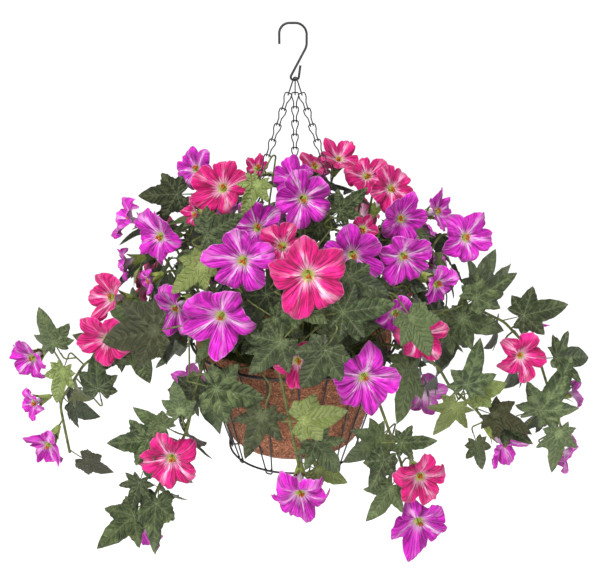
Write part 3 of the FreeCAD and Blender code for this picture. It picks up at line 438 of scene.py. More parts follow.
# ---------------------------------------------------------------- petals
def petal_material(name, deep, body, light, star, edge):
    """Star-striped petals: streaky pale rays up each lobe, fine darker lines, painted shade in the folds
    between the lobes, and a small yellow throat that also glows a little as painted light.
    The pattern is (lobes around, share of the way from the throat to the rim); below 0 is in the tube."""
    shader = Shader(name, Sheen_Weight=0.1, Specular_IOR_Level=0.25)
    around, out = shader.pattern()
    luck, star_tone, back = shader.tone()
    own = shader.times(luck, 37.0)
    drift = shader.centred(shader.noise(shader.vector(around, shader.times(out, 1.7), own), 1.3, 2.0), 0.34)
    shifted = shader.math("FRACT", shader.plus(around, drift, 0.5))
    aside = shader.math("ABSOLUTE", shader.centred(shifted, 2.0))
    streaks = shader.noise(shader.vector(shader.times(around, 9.0), out, own), 1.0, 3.0, 0.7)
    hairs = shader.vector(shader.times(around, 21.0), shader.times(out, 1.5), own)
    hairs = shader.noise(hairs, 1.0, 1.0, 0.5)
    blotch = shader.noise(shader.vector(shader.times(around, 1.4), shader.times(out, 2.2), own), 1.0)
    lobe_luck = shader.noise(shader.vector(shader.math("ROUND", around), own, 3.7), 2.3, 0.0)
    reach = shader.smooth(lobe_luck, 0.3, 0.7, 0.5, 1.0)
    width = shader.plus(shader.times(out, 0.15), 0.13)
    width = shader.times(width, shader.plus(blotch, 0.3), shader.smooth(lobe_luck, 0.3, 0.7, 0.6, 1.35))
    ragged = shader.plus(aside, shader.centred(streaks, 0.75))
    ray = shader.smooth(shader.math("DIVIDE", ragged, width), 0.2, 1.6, 1.0, 0.0)
    fade = shader.smooth(shader.math("DIVIDE", out, reach), 0.25, 1.1, 0.95, 0.12)
    ray = shader.times(ray, fade, star_tone)
    tongue = shader.plus(out, shader.centred(streaks, 0.5))
    heart = shader.smooth(tongue, 0.04, 0.34, 0.62, 0.0)
    shade = shader.plus(shader.times(blotch, 0.55), shader.times(streaks, 0.6))
    # Painted shade: deep colour in the folds between the lobes, strongest near the throat.
    between = shader.times(shader.smooth(aside, 0.45, 0.98), shader.smooth(out, 0.0, 0.8, 0.85, 0.4))
    lines = shader.times(shader.smooth(hairs, 0.54, 0.60), shader.smooth(out, 0.1, 1.0, 0.95, 0.6))
    pale_hairs = shader.smooth(hairs, 0.34, 0.44, 1.0, 0.0)
    pale_hairs = shader.times(pale_hairs, shader.smooth(out, 0.2, 1.0, 0.65, 0.2))
    rim = shader.times(shader.smooth(out, 0.955, 1.0, 0.0, 0.6), shader.smooth(streaks, 0.35, 0.6))
    inside = shader.minus(1.0, back)
    throat = shader.times(shader.smooth(tongue, -0.06, 0.09, 0.95, 0.0), inside)
    throat_colour_and_glow = shader.ramp(streaks, [(0.35, rgb(0.66, 0.70, 0.26)), (0.6, rgb(0.90, 0.92, 0.56))])
    colour = shader.layers(
        shader.ramp(shade, [(0.42, deep), (0.60, body), (0.82, light)]),
        (between, deep),
        (ray, star),
        (heart, star),
        (lines, (*(0.7 * value for value in deep[:3]), 1.0)),
        (pale_hairs, light),
        (shader.times(back, shader.smooth(out, -0.4, 0.8, 0.7, 0.1)), star),
        (rim, edge),
        (throat, throat_colour_and_glow),
        (shader.times(shader.smooth(out, -0.8, -0.2, 0.7, 0.0), inside), rgb(0.62, 0.58, 0.22)),
        (shader.times(shader.smooth(out, -1.0, -0.3, 0.7, 0.0), back), rgb(0.72, 0.74, 0.50)),
    )
    # Painted light: the throat glows a little, lifting the shade deep in the tube.
    shader.feed(shader.surface.inputs["Emission Color"], throat_colour_and_glow)
    shader.feed(shader.surface.inputs["Emission Strength"], shader.times(throat, 0.4))
    weave = shader.noise(shader.place(), 2600.0, 1.0)
    height = shader.plus(hairs, shader.times(weave, 0.25), shader.times(streaks, 0.8))
    roughness = shader.plus(shader.times(streaks, 0.25), 0.5)
    return shader.finish(colour, roughness, height, 0.0014)


# Deep, body and light, then star and edge, as display values.
PURPLES = [(0.50, 0.02, 0.45), (0.82, 0.08, 0.74), (0.94, 0.32, 0.88)]
PURPLES += [(1.00, 0.88, 0.99), (0.96, 0.70, 0.95)]
PINKS = [(0.54, 0.00, 0.26), (0.85, 0.01, 0.47), (0.94, 0.22, 0.62)]
PINKS += [(1.00, 0.84, 0.93), (0.97, 0.62, 0.80)]
PETALS = {}
for colour, row in (("purple", PURPLES), ("pink", PINKS)):
    PETALS[colour] = petal_material("petal_" + colour, *(rgb(*values) for values in row))

PETAL_COLUMNS = 150
FLARE_ROWS = 17
PETAL_WALL = 0.3 * MM
RIM_MOST = 1.07
RIM_ROUND = 0.72
LEAST_THROAT = 4.6 * MM
THROAT_SHARE = 0.125
FUNNEL_SHARE = 0.44
CURL_FROM = 0.72
PHASE = 6.3  # a little over a full turn
TUBE_RINGS = [(3.0, -1.2), (3.4, -1.03), (3.7, -0.88), (4.0, -0.75), (4.2, -0.64)]  # mm, mouth radii
THROAT_FOOT = -0.54
TUBE_TOP = -0.46


def between_lobes(values, lobe, aside):
    """Each lobe's value at its middle, easing to the mean of two neighbours at the notches."""
    own = values[lobe % LOBES]
    neighbour = values[(lobe + np.where(aside >= 0, 1, -1)) % LOBES]
    share = 0.5 * np.abs(aside) ** 2
    return own * (1 - share) + neighbour * share


def near(value, width):
    """1 where a value is 0, easing to 0 past a width."""
    return np.exp(-((value / width) ** 2))


def corolla(radius, luck):
    """A trumpet in its own directions: its grid of points and its pattern."""
    around = full_turn(PETAL_COLUMNS)
    turns = around / (2 * math.pi) * LOBES
    lobe = np.round(turns).astype(int)
    aside = (turns - lobe) * 2

    def per_lobe(low, high):
        return between_lobes(luck.uniform(low, high, LOBES), lobe, aside)

    notch = per_lobe(0.54, 0.78)
    reach = per_lobe(0.96, 1.05)
    skew = per_lobe(-0.35, 0.35)
    point = per_lobe(-0.04, 0.10)
    square = per_lobe(1.5, 2.9)
    leaning = np.clip(aside + skew * (1 - aside**2), -1, 1)
    rim = notch + (reach - 0.02 - notch) * (1 - np.abs(leaning) ** square) ** RIM_ROUND
    rim = rim + point * near(leaning, 0.16)
    for waves in (13, 21, 34):
        rim = rim + luck.uniform(0.002, 0.008) * np.sin(waves * around + luck.uniform(0, PHASE))
    rim = np.minimum(rim, RIM_MOST)
    throat = max(LEAST_THROAT, THROAT_SHARE * radius)
    throat_depth = FUNNEL_SHARE * radius * luck.uniform(0.8, 1.15)
    funnel = luck.uniform(1.15, 1.7)
    rows = []
    outs = []
    for ring, height in TUBE_RINGS + [(0.93 * throat / MM, THROAT_FOOT)]:
        rows.append(turned(ring * MM, around, height * radius))
        outs.append((height - TUBE_TOP) / (TUBE_SHARE + TUBE_TOP))
    tilt = per_lobe(-0.50, 0.32)
    cup = per_lobe(-0.22, 0.26)
    roll = per_lobe(-0.52, 0.52)
    curl = per_lobe(-0.05, 0.30)
    crease = per_lobe(0.6, 1.8)
    ruffles = [(waves, 0.018 * luck.uniform(0.5, 1.3), luck.uniform(0, PHASE)) for waves in (8, 13, 19, 27)]
    lean_to = luck.uniform(0, 2 * math.pi)
    lean_by = luck.uniform(0.0, 0.16)
    swing = lean_by * np.cos(around - lean_to) - 0.085 * near(np.abs(aside) - 1, 0.17)
    swing = swing + (0.020 * near(aside, 0.26) - 0.030 * near(aside, 0.08)) * crease
    swing = swing + sum(0.005 * np.sin(waves * around + 7 * waves) for waves in (35, 50))
    bowl = tilt * np.cos(aside * math.pi / 2) ** 2 + cup * (aside**2 - 0.35) + roll * aside * (1 - aside**2)
    ruffle = sum(size * np.sin(waves * around + phase) for waves, size, phase in ruffles)
    for step in range(FLARE_ROWS):
        out = (step / (FLARE_ROWS - 1)) ** 0.9
        ring = throat + (rim * radius - throat) * out
        share = (ring - throat) / (radius - throat)
        edge = max(0.0, (out - CURL_FROM) / (1 - CURL_FROM)) ** 2
        height = radius * (out * swing + out**2 * bowl + out**3 * ruffle - edge * curl)
        height = height - throat_depth * np.clip(1 - share, 0, 1) ** funnel
        pull = 1 - 0.10 * edge * np.abs(curl)
        pull = pull * (1 - 0.35 * np.maximum(np.abs(tilt) - 0.1, 0) * out)
        rows.append(turned(ring * pull, around, height))
        outs.append(out)
    points = np.array(rows)
    return points, round_pattern(turns, np.array(outs)[:, None])


def round_pattern(turns, outs):
    """The pattern of a turned grid: lobes around, and the share of the way out."""
    return np.stack(np.broadcast_arrays(turns, outs), axis=2)


def add_corolla(sheet, flower, luck):
    mouth, directions, radius = flower
    points, pattern = corolla(radius, luck)
    shell, faces, corners, is_back = closed_shell(points, -PETAL_WALL, pattern)
    tone = tones(luck.uniform(0, 1), luck.uniform(0.6, 1.0), is_back)
    sheet.add(mouth + shell @ directions, [faces[:, ::-1]], [corners[:, ::-1]], tone)


# ---------------------------------------------------------------- green parts of a flower
def stem_material(name, low, high, tip):
    shader = Shader(name, Specular_IOR_Level=0.4)
    _, out = shader.pattern()
    grain = shader.noise(shader.place(), 160.0, 4.0)
    drawn_out = shader.add("Mapping", inputs={0: shader.place(), 3: (900.0, 900.0, 60.0)})
    fibres = shader.noise(drawn_out, 1.0, 2.0)
    colour = shader.ramp(grain, [(0.35, low), (0.65, high)])
    colour = shader.mix(shader.smooth(out, 0.72, 1.0, 0.0, 0.8), colour, tip)
    roughness = shader.plus(shader.times(grain, 0.3), 0.35)
    return shader.finish(colour, roughness, fibres, 0.0004, 0.5)


STEM = stem_material("stem_green", rgb(0.24, 0.26, 0.12), rgb(0.42, 0.46, 0.22), rgb(0.40, 0.30, 0.16))
CALYX = stem_material("calyx_green", rgb(0.40, 0.45, 0.18), rgb(0.62, 0.68, 0.34), rgb(0.42, 0.30, 0.16))

CUP_COLUMNS = 50
CUP_ROWS = 9
CUP_FOOT = -6.8 * MM
CUP_RIM = 7.5 * MM
CUP_SLOPE = 3.8 / 14.0
CUP_FOOT_RADIUS = 2.9 * MM
CUP_RIB = 0.25 * MM
CUP_TAPER = 0.6 * MM
CUP_FLARE = 30.0
CUP_WALL = 0.5 * MM


def add_calyx(sheet, flower, luck):
    """A ribbed cup with five narrow sepals that stand off the tube."""
    mouth, directions, radius = flower
    around = full_turn(CUP_COLUMNS)
    turns = around / (2 * math.pi) * LOBES
    lobe = np.round(turns).astype(int)
    aside = np.abs(turns - lobe) * 2
    tall = between_lobes(luck.uniform(8.0, 13.0, LOBES) * MM, lobe, turns - lobe)
    top = CUP_RIM + tall * (1 - aside) ** 0.75
    share = np.linspace(0, 1, CUP_ROWS)[:, None]
    height = CUP_FOOT + (top - CUP_FOOT) * share
    past = np.maximum(height - CUP_RIM, 0.0)
    ring = CUP_FOOT_RADIUS + (height - CUP_FOOT) * CUP_SLOPE + CUP_RIB * np.cos(2 * LOBES * around)
    ring = ring + CUP_FLARE * past**2 - CUP_TAPER * (1 - aside) * (past > 0)
    points = turned(ring, around, height - TUBE_SHARE * radius)
    pattern = round_pattern(turns, share * (1 - aside * 0.4))
    shell, faces, corners, _ = closed_shell(points, CUP_WALL, pattern)
    sheet.add(mouth + shell @ directions, [faces], [corners])


def anther_material():
    shader = Shader("stamen_orange", Specular_IOR_Level=0.3)
    _, kind, _ = shader.tone()
    grain = shader.noise(shader.place(), 1400.0, 3.0)
    orange = shader.ramp(grain, [(0.3, rgb(0.55, 0.24, 0.08)), (0.7, rgb(0.84, 0.48, 0.20))])
    green = shader.ramp(grain, [(0.3, rgb(0.38, 0.44, 0.14)), (0.7, rgb(0.66, 0.72, 0.34))])
    return shader.finish(shader.mix(kind, orange, green), 0.75, grain, 0.0006, 0.8)


ANTHER = anther_material()
ANTHER_STEP = 1.257
FILAMENT = 0.32 * MM
PISTIL = 0.55 * MM


def add_stamens(sheet, flower, luck):
    """Five filaments with anthers round a pistil, leaning to one side of the throat."""
    mouth, directions, radius = flower
    lean = luck.uniform(0, 2 * math.pi)
    drift = np.array([math.cos(lean), math.sin(lean), 0.0]) * 1.9 * MM
    foot = np.array([0.0, 0.0, -0.95 * radius])
    green = (0.5, 1.0, 0.0, 0.0)
    orange = (0.5, 0.0, 0.0, 0.0)
    head = np.array([0.0, 0.0, -0.34 * radius]) - 0.8 * drift
    add_tube(sheet, mouth + np.array([foot, (foot + head) / 2, head]) @ directions, PISTIL, 6, green)
    add_blob(sheet, mouth + head @ directions, directions, (2.3, 2.3, 1.5), 0.12, 3, green)
    for number in range(LOBES):
        turn = lean + ANTHER_STEP * number + luck.uniform(-0.3, 0.3)
        ring = luck.uniform(1.2, 2.8) * MM
        end = np.array([ring * math.cos(turn), ring * math.sin(turn), -luck.uniform(0.27, 0.40) * radius])
        end = end + drift
        bend = (foot + end) / 2 + 0.3 * (end - foot) * np.array([1, 1, 0])
        add_tube(sheet, mouth + np.array([foot, bend, end]) @ directions, FILAMENT, 5, green)
        add_blob(sheet, mouth + end @ directions, directions, (1.5, 1.4, 2.3), 0.15, number, orange)


# ---------------------------------------------------------------- leaves
def leaf_material(name, deep, body, pale_and_painted_sheen, vein, under, dry):
    """Printed fabric leaves, whose pale mottled patches are partly painted highlights. The pattern is (along
    the nearest vein, aside from it), in blade lengths.
    """
    shader = Shader(name, Specular_IOR_Level=0.55)
    along, aside = shader.pattern()
    luck, bronze, back = shader.tone()
    own = shader.times(luck, 23.0)
    place = shader.vector(along, aside, own)
    bowed = shader.centred(shader.noise(place, 4.0, 1.0), 0.035)
    wide = shader.math("ABSOLUTE", shader.plus(aside, bowed))
    cloud = shader.noise(place, 5.0, 6.0)
    speck = shader.noise(shader.place(), 900.0, 3.0)
    wander = shader.centred(shader.noise(place, 7.0, 1.0), 0.16)
    side_veins = shader.minus(along, shader.times(wide, 0.9))
    side_veins = shader.math("FRACT", shader.times(shader.plus(side_veins, wander), 8.0))
    side_veins = shader.math("ABSOLUTE", shader.minus(side_veins, 0.5))
    side_line = shader.smooth(side_veins, 0.0, 0.06, 1.0, 0.0)
    side_line = shader.times(side_line, shader.smooth(wide, 0.0, 0.22, 1.0, 0.35))
    taper = shader.minus(0.004, shader.times(along, 0.003))
    main_line = shader.smooth(shader.minus(wide, taper), -0.002, 0.003, 1.0, 0.0)
    halo = shader.smooth(wide, 0.0, 0.05, 1.0, 0.0)
    net = shader.add("TexVoronoi", inputs={0: place, 2: 38.0}, feature="DISTANCE_TO_EDGE")
    away = shader.smooth(along, 0.04, 0.16)
    net_line = shader.times(shader.smooth(net, 0.0, 0.10, 1.0, 0.0), away)
    colour = shader.layers(
        # The mottling runs from deep to a pale green whose patches stand in for gloss: partly painted
        # highlight, partly tone.
        shader.ramp(cloud, [(0.30, deep), (0.48, body), (0.68, pale_and_painted_sheen)]),
        (shader.times(shader.smooth(luck, 0.5, 1.0), 0.6), pale_and_painted_sheen),
        (shader.times(shader.smooth(luck, 0.4, 0.0), 0.5), deep),
        (shader.smooth(speck, 0.5, 0.75, 0.0, 0.2), pale_and_painted_sheen),
        (shader.times(net_line, 0.14), vein),
        (shader.times(halo, away, 0.18), vein),
        (shader.times(side_line, away, 0.45), vein),
        (shader.times(main_line, 0.75), vein),
        (shader.times(back, 0.75), under),
        (shader.times(bronze, shader.smooth(cloud, 0.3, 0.6, 0.5, 0.95)), dry),
    )
    swell = shader.times(shader.smooth(side_veins, 0.0, 0.5), away)
    furrows = shader.plus(shader.times(net_line, 0.35), shader.times(main_line, 0.7))
    height = shader.plus(shader.minus(swell, furrows), shader.times(speck, 0.5))
    roughness = shader.plus(shader.times(speck, 0.3), 0.25)
    return shader.finish(colour, roughness, height, 0.0032)


LEAF_SLOTS = {"leaves": "leaf_dark_green", "leaves_lime": "leaf_yellow_green"}
# Deep, body and a pale green that is also painted highlight, then vein, under and dry, as display values.
DARK_GREENS = [(0.07, 0.10, 0.03), (0.22, 0.30, 0.13), (0.52, 0.60, 0.37)]
DARK_GREENS += [(0.68, 0.74, 0.54), (0.33, 0.39, 0.27), (0.27, 0.25, 0.15)]
LIME_GREENS = [(0.44, 0.52, 0.22), (0.57, 0.65, 0.32), (0.68, 0.75, 0.45)]
LIME_GREENS += [(0.82, 0.86, 0.64), (0.56, 0.62, 0.36), (0.52, 0.48, 0.26)]
LEAVES = {}
for slot, row in zip(LEAF_SLOTS.values(), (DARK_GREENS, LIME_GREENS)):
    LEAVES[slot] = leaf_material(slot, *(rgb(*values) for values in row))

SPOKES = 72
LEAF_RINGS = [0.14, 0.30, 0.47, 0.64, 0.79, 0.91, 1.0]
LEAF_WALL = 0.4 * MM
VEIN_MEET = 0.10
# Half of the outline round the point where the veins meet: degrees from the tip, and the reach
# in blade lengths. Lobes and notches take turns.
OUTLINE_DEGREES = np.array([0.0, 36.0, 60.0, 86.0, 106.0, 126.0, 142.0, 170.0, 180.0])
OUTLINE_REACH = np.array([0.91, 0.37, 0.67, 0.33, 0.52, 0.29, 0.36, 0.12, 0.10])
NOTCHES = [1, 3, 5]
SIDE_LOBES = [2, 4]
VEINS = [0.0, 60.0, 105.0, 140.0]
VEIN_SECTORS = [35.0, 85.0, 125.0]
TOOTH_DEGREES = 12.5


def leaf_outline(angle, luck):
    """How far the blade reaches at each angle: pointed lobes with round notches."""
    tilt = luck.uniform(-0.06, 0.06)
    keys = OUTLINE_DEGREES
    reach = OUTLINE_REACH.copy()
    reach[NOTCHES] *= luck.uniform(0.85, 1.28)
    reach[SIDE_LOBES] *= luck.uniform(0.80, 1.02)
    size = np.abs(angle)
    after = np.clip(np.searchsorted(keys, size, side="right"), 1, len(keys) - 1)
    share = (size - keys[after - 1]) / (keys[after] - keys[after - 1])
    low = np.minimum(reach[after - 1], reach[after])
    high = np.maximum(reach[after - 1], reach[after])
    toward_high = np.where(reach[after] > reach[after - 1], share, 1 - share)
    outline = low + (high - low) * toward_high ** luck.uniform(1.0, 1.5)
    outline = outline * (1 + tilt * np.sign(angle) * np.sin(np.radians(size)))
    teeth = np.abs((angle / TOOTH_DEGREES + 0.5) % 1.0 - 0.5) * 2
    jagged = luck.uniform(0.03, 0.10)
    return outline * (1 + jagged * (teeth - 0.5) * (size > 5) * (size < 150))


def nearest_vein(angle):
    """The direction of the vein whose sector an angle is in."""
    number = sum(abs(angle) > edge for edge in VEIN_SECTORS)
    return math.copysign(VEINS[number], angle)


def along_vein(x, y, turn):
    """The distances along a vein at an angle from the tip, and aside from it."""
    y = y - VEIN_MEET
    return x * np.sin(turn) + y * np.cos(turn), x * np.cos(turn) - y * np.sin(turn)


def leaf_height(x, y, share, angle, luck):
    """The blade's relief, in blade lengths: fold, droop, swelling between the veins and a wavy edge."""
    fold = math.tan(math.radians(luck.uniform(2, 27)))
    droop = luck.uniform(-0.02, 0.34)
    wing = luck.uniform(0.0, 0.75)
    twist = luck.uniform(-0.32, 0.32)
    wave = luck.uniform(0.008, 0.030)
    phase = luck.uniform(0, PHASE)
    height = fold * np.sqrt(x**2 + 0.0016) - droop * np.maximum(y, 0) ** 2 - wing * x**2 + twist * x * y
    height = height + wave * share**2 * np.sin(np.radians(angle) * 5 + phase)
    height = height + 0.6 * wave * share**3 * np.sin(np.radians(angle) * 11 + 2 * phase)
    groove = np.zeros_like(x)
    swell = np.zeros_like(x)
    for vein in VEINS:
        for sign in (-1, 1):
            along, aside = along_vein(x, y, math.radians(vein * sign))
            aside = np.abs(aside)
            groove = np.maximum(groove, near(aside, 0.035) * (along > 0))
            chevron = np.abs(np.sin(math.pi * 9 * (along - 0.75 * aside)))
            swell = np.maximum(swell, chevron * near(aside - 0.11, 0.09) * (along > 0))
    return height - 0.008 * groove + 0.018 * swell * share * (1 - share**4)


def leaf_shell(length, luck):
    """A closed thin blade in its own directions: its points, its quads and triangles, a pattern for each
    of those two, and 1 for the back's points."""
    angle = np.arange(SPOKES) * 360.0 / SPOKES
    angle = np.where(angle > 180, angle - 360, angle)
    reach = leaf_outline(angle, luck)
    narrow = luck.uniform(0.86, 1.04)
    share = np.array(LEAF_RINGS)[:, None] * np.ones(SPOKES)
    every_angle = np.broadcast_to(angle, share.shape)
    x = narrow * share * reach * np.sin(np.radians(every_angle))
    y = VEIN_MEET + share * reach * np.cos(np.radians(every_angle))
    x = np.append(x, 0.0)
    y = np.append(y, VEIN_MEET)
    z = leaf_height(x, y, np.append(share, 0.0), np.append(every_angle, 0.0), luck)
    middle = np.stack([x, y, z], axis=1) * length
    size = len(middle)
    wall = np.array([0, 0, LEAF_WALL / 2])
    points = np.concatenate([middle + wall, middle - wall])
    quads = grid_faces(len(LEAF_RINGS), SPOKES)
    fan = end_fans(len(LEAF_RINGS), SPOKES)[:SPOKES]
    column = np.arange(SPOKES)
    after = (column + 1) % SPOKES
    last = size - 1 - SPOKES
    rim = np.stack([last + column, last + after, size + last + after, size + last + column], axis=1)
    groups = [np.concatenate([quads, quads[:, ::-1] + size, rim])]
    groups.append(np.concatenate([fan, fan[:, ::-1] + size]))
    flat = np.concatenate([np.stack([x / narrow, y], axis=1)] * 2)
    middle_angle = (angle + 180.0 / SPOKES + 180) % 360 - 180
    vein = np.radians([nearest_vein(value) for value in middle_angle])
    patterns = []
    for faces in groups:
        turn = np.tile(vein, len(faces) // SPOKES)[:, None]
        patterns.append(np.stack(along_vein(flat[faces, 0], flat[faces, 1], turn), axis=2))
    return points, groups, patterns, np.repeat([0.0, 1.0], size)


BRONZE_SHARE = 0.05
STALK_RADII = np.array([0.95, 0.8, 0.55]) * MM


def add_leaf(sheet, leaf, luck):
    base, directions, length, stalk = leaf
    points, groups, patterns, is_back = leaf_shell(length, luck)
    bronze = luck.uniform(0.6, 1.0) if luck.uniform() < BRONZE_SHARE else luck.uniform(0.0, 0.28)
    tone = tones(luck.uniform(0, 1), bronze, is_back)
    sheet.add(base + points @ directions, groups, patterns, tone)
    meet = base + (points[-1] - np.array([0, 0, 0.7 * MM])) @ directions
    bend = (meet + stalk) / 2 + directions[2] * luck.uniform(-1.5, 1.5) * MM
    add_tube(sheet, [stalk, bend, meet], STALK_RADII, slot=1)


# ---------------------------------------------------------------- every flower and leaf of the frame
MOST_FLOWERS = 16
MOST_LEAVES = 70


def settle(piece, body, slot, *nodes):
    """Say which body a piece rides and hide the nodes that it replaces; the slot is not used."""
    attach(piece, body)
    if nodes:
        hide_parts(*nodes)


def dress(node, label, read, add, most, materials, body, slot):
    """A node's solids made anew, in as few equal pieces as keep each under a count. Returns what it read."""
    things = list(enumerate(read(*solid) for solid in solids(node)))
    pieces = max(1, math.ceil(len(things) / most))
    for part in range(pieces):
        sheet = Sheet()
        for number, thing in things[part::pieces]:
            add(sheet, thing, dice(node, number))
        settle(sheet.make("%s_%s_%d" % (node, label, part + 1), materials), body, slot, node)
    return things


def dress_flowers(prefix, body):
    """The corollas, cups and stamens of one branch."""
    cups = Sheet()
    stamens = Sheet()
    for colour, material in PETALS.items():
        node = "%s_petals_%s" % (prefix, colour)
        if node not in frame["nodes"]:
            continue
        slot = "petal_" + colour
        flowers = dress(node, "corollas", read_flower, add_corolla, MOST_FLOWERS, [material], body, slot)
        for number, flower in flowers:
            add_calyx(cups, flower, dice(node + "cup", number))
            add_stamens(stamens, flower, dice(node + "stamen", number))
    cup_nodes = [node for node in [prefix + "_calyxes"] if node in frame["nodes"]]
    settle(cups.make(prefix + "_sepals", [CALYX]), body, "stem_green", *cup_nodes)
    settle(stamens.make(prefix + "_anthers", [ANTHER]), body, "stamen_orange", prefix + "_stamens")


def dress_leaves(prefix, body):
    """The leaves of one branch, in both greens."""
    for kind, slot in LEAF_SLOTS.items():
        node = "%s_%s" % (prefix, kind)
        if node in frame["nodes"]:
            dress(node, "blades", read_leaf, add_leaf, MOST_LEAVES, [LEAVES[slot], STEM], body, slot)


PREFIXES = sorted(node[: -len("_stems")] for node in frame["nodes"] if node.endswith("_stems"))
for prefix in PREFIXES:
    owner = BODY_OF[prefix + "_stems"]
    dress_flowers(prefix, owner)
    dress_leaves(prefix, owner)


# ---------------------------------------------------------------- wire, foam and stems keep their CAD shapes
def wire_material():
    shader = Shader("black_wire", Specular_IOR_Level=0.5)
    place = shader.place()
    grain = shader.noise(place, 420.0, 4.0)
    dust = shader.noise(place, 60.0, 3.0)
    greys = [(0.3, rgb(0.07, 0.065, 0.06)), (0.6, rgb(0.13, 0.12, 0.11)), (0.8, rgb(0.22, 0.19, 0.16))]
    colour = shader.ramp(grain, greys)
    colour = shader.mix(shader.smooth(dust, 0.55, 0.8, 0.0, 0.35), colour, rgb(0.26, 0.22, 0.18))
    roughness = shader.smooth(grain, 0.3, 0.7, 0.32, 0.55)
    return shader.finish(colour, roughness, grain, 0.0004, 0.5)


def foam_material():
    shader = Shader("foam", Specular_IOR_Level=0.1)
    place = shader.place()
    cells = shader.add("TexVoronoi", inputs={0: place, 2: 620.0})
    moss = shader.noise(place, 35.0, 5.0)
    greens = [(0.3, rgb(0.10, 0.13, 0.06)), (0.6, rgb(0.20, 0.24, 0.10)), (0.8, rgb(0.30, 0.26, 0.14))]
    colour = shader.ramp(moss, greens)
    return shader.finish(colour, 0.95, cells, 0.0015)


def clothe(nodes, material):
    for node in nodes:
        mesh = frame["nodes"][node].data
        mesh.materials.clear()
        mesh.materials.append(material)


WIRE_NODES = ["hook", "top_rings", "chain_left", "chain_right", "chain_back", "rim_clips", "rim_ring"]
WIRE_NODES += ["base_ring", "ribs", "base_cross_wires"]
WIRE = wire_material()
clothe(WIRE_NODES, WIRE)
clothe(["foam_block"], foam_material())
clothe([prefix + "_stems" for prefix in PREFIXES], STEM)


# ---------------------------------------------------------------- coco liner
def coco_material():
    shader = Shader("coco_fibre", Specular_IOR_Level=0.12, Sheen_Weight=0.08)
    _, pale, _ = shader.tone()
    place = shader.place()
    crumbs = shader.noise(place, 420.0, 3.0, 0.7)
    mat = shader.noise(place, 170.0, 4.0, 0.75)
    patch = shader.noise(place, 22.0, 3.0)
    base = shader.plus(shader.times(mat, 0.35), shader.times(crumbs, 0.65))
    browns = [(0.42, rgb(0.20, 0.11, 0.07)), (0.47, rgb(0.52, 0.31, 0.20))]
    browns += [(0.54, rgb(0.69, 0.44, 0.31)), (0.62, rgb(0.90, 0.68, 0.53))]
    colour = shader.ramp(base, browns)
    colour = shader.mix(shader.smooth(patch, 0.40, 0.70, 0.0, 0.35), colour, rgb(0.56, 0.34, 0.23))
    # Painted shade: dark spots stand for holes in the mat, with a dent in the bump.
    shaded_holes = shader.smooth(shader.noise(place, 360.0, 1.0), 0.38, 0.45, 0.9, 0.0)
    colour = shader.mix(shaded_holes, colour, rgb(0.10, 0.05, 0.03))
    colour = shader.mix(shader.times(pale, 0.5), colour, rgb(0.80, 0.54, 0.40))
    height = shader.minus(base, shader.times(shaded_holes, 0.6))
    return shader.finish(colour, 0.9, height, 0.004)


COCO = coco_material()


def waves_over(place, luck, scale, count=7):
    """A smooth bumpy field over points, between -1 and 1."""
    field = np.zeros(place.shape[:-1])
    for _ in range(count):
        direction = unit(luck.normal(size=3)) * scale * luck.uniform(0.5, 1.6)
        field += np.sin(place @ direction + luck.uniform(0, PHASE))
    return field / count**0.5 / 1.5


def ring_profile(node, levels):
    """The outer radius of a turned node at some heights, along its convex outline."""
    points, _ = node_arrays(node)
    reach = np.hypot(points[:, 0], points[:, 1])
    outline = []
    for height, radius in np.unique(np.column_stack([points[:, 2], reach]), axis=0):
        while len(outline) > 1:
            (first_height, first), (last_height, last) = outline[-2:]
            if (last_height - first_height) * (radius - first) < (last - first) * (height - first_height):
                break
            outline.pop()
        outline.append((height, radius))
    return np.interp(levels, *np.array(outline).T)


LINER_COLUMNS = 260
LINER_WALL = 8.0 * MM
LINER_FLOOR_ROWS = 6
LIP_REACH = 8.0 * MM
AXIS_GAP = 0.01
FIBRES = 2600
FIBRE_RADII = np.array([0.16, 0.2, 0.2, 0.1]) * MM
FIBRE_SHARES = (-0.5, -0.17, 0.17, 0.5)


def make_liner():
    """A matted coir bowl: two walls joined over a ragged lip, with loose fibres all over."""
    luck = dice("liner")
    low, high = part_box("coco_liner")
    bottom = low[2] + 0.4 * MM
    top = high[2]
    floor = low[2] + LINER_WALL
    floor_levels = np.full(LINER_FLOOR_ROWS, bottom)
    levels = np.concatenate([floor_levels, np.linspace(low[2] + 1 * MM, top, 64)])
    outside = ring_profile("coco_liner", levels) - 0.5 * MM
    edge = outside[LINER_FLOOR_ROWS] - 2 * MM
    outside[:LINER_FLOOR_ROWS] = np.linspace(AXIS_GAP, edge, LINER_FLOOR_ROWS)
    inside_levels = np.linspace(top, floor, 26)
    inside = np.interp(inside_levels, levels[LINER_FLOOR_ROWS:], outside[LINER_FLOOR_ROWS:]) - LINER_WALL
    radii = np.concatenate([outside, inside, [AXIS_GAP]])
    heights = np.concatenate([levels, inside_levels, [floor]])
    points = turned(radii[:, None], full_turn(LINER_COLUMNS), heights[:, None])
    lump = 0.5 * MM * waves_over(points, luck, 170, 24) + 0.35 * MM * waves_over(points, luck, 420, 24)
    points = points - grid_normals(points) * np.clip(lump, -1.2 * MM, 0.6 * MM)[:, :, None]
    ragged = 2.5 * MM * waves_over(points, luck, 90) + 1.5 * MM * waves_over(points, luck, 400)
    points[:, :, 2] += near(heights - top, LIP_REACH)[:, None] * (ragged - 2 * MM)
    body = np.concatenate([points.reshape(-1, 3), [[0, 0, bottom], [0, 0, floor]]])
    sheet = Sheet()
    sheet.add(body, [grid_faces(len(radii), LINER_COLUMNS), end_fans(len(radii), LINER_COLUMNS)])
    wall_from = LINER_FLOOR_ROWS + 2
    add_fibres(sheet, luck, levels[wall_from:], outside[wall_from:])
    return sheet.make("coco_liner_mat", [COCO])


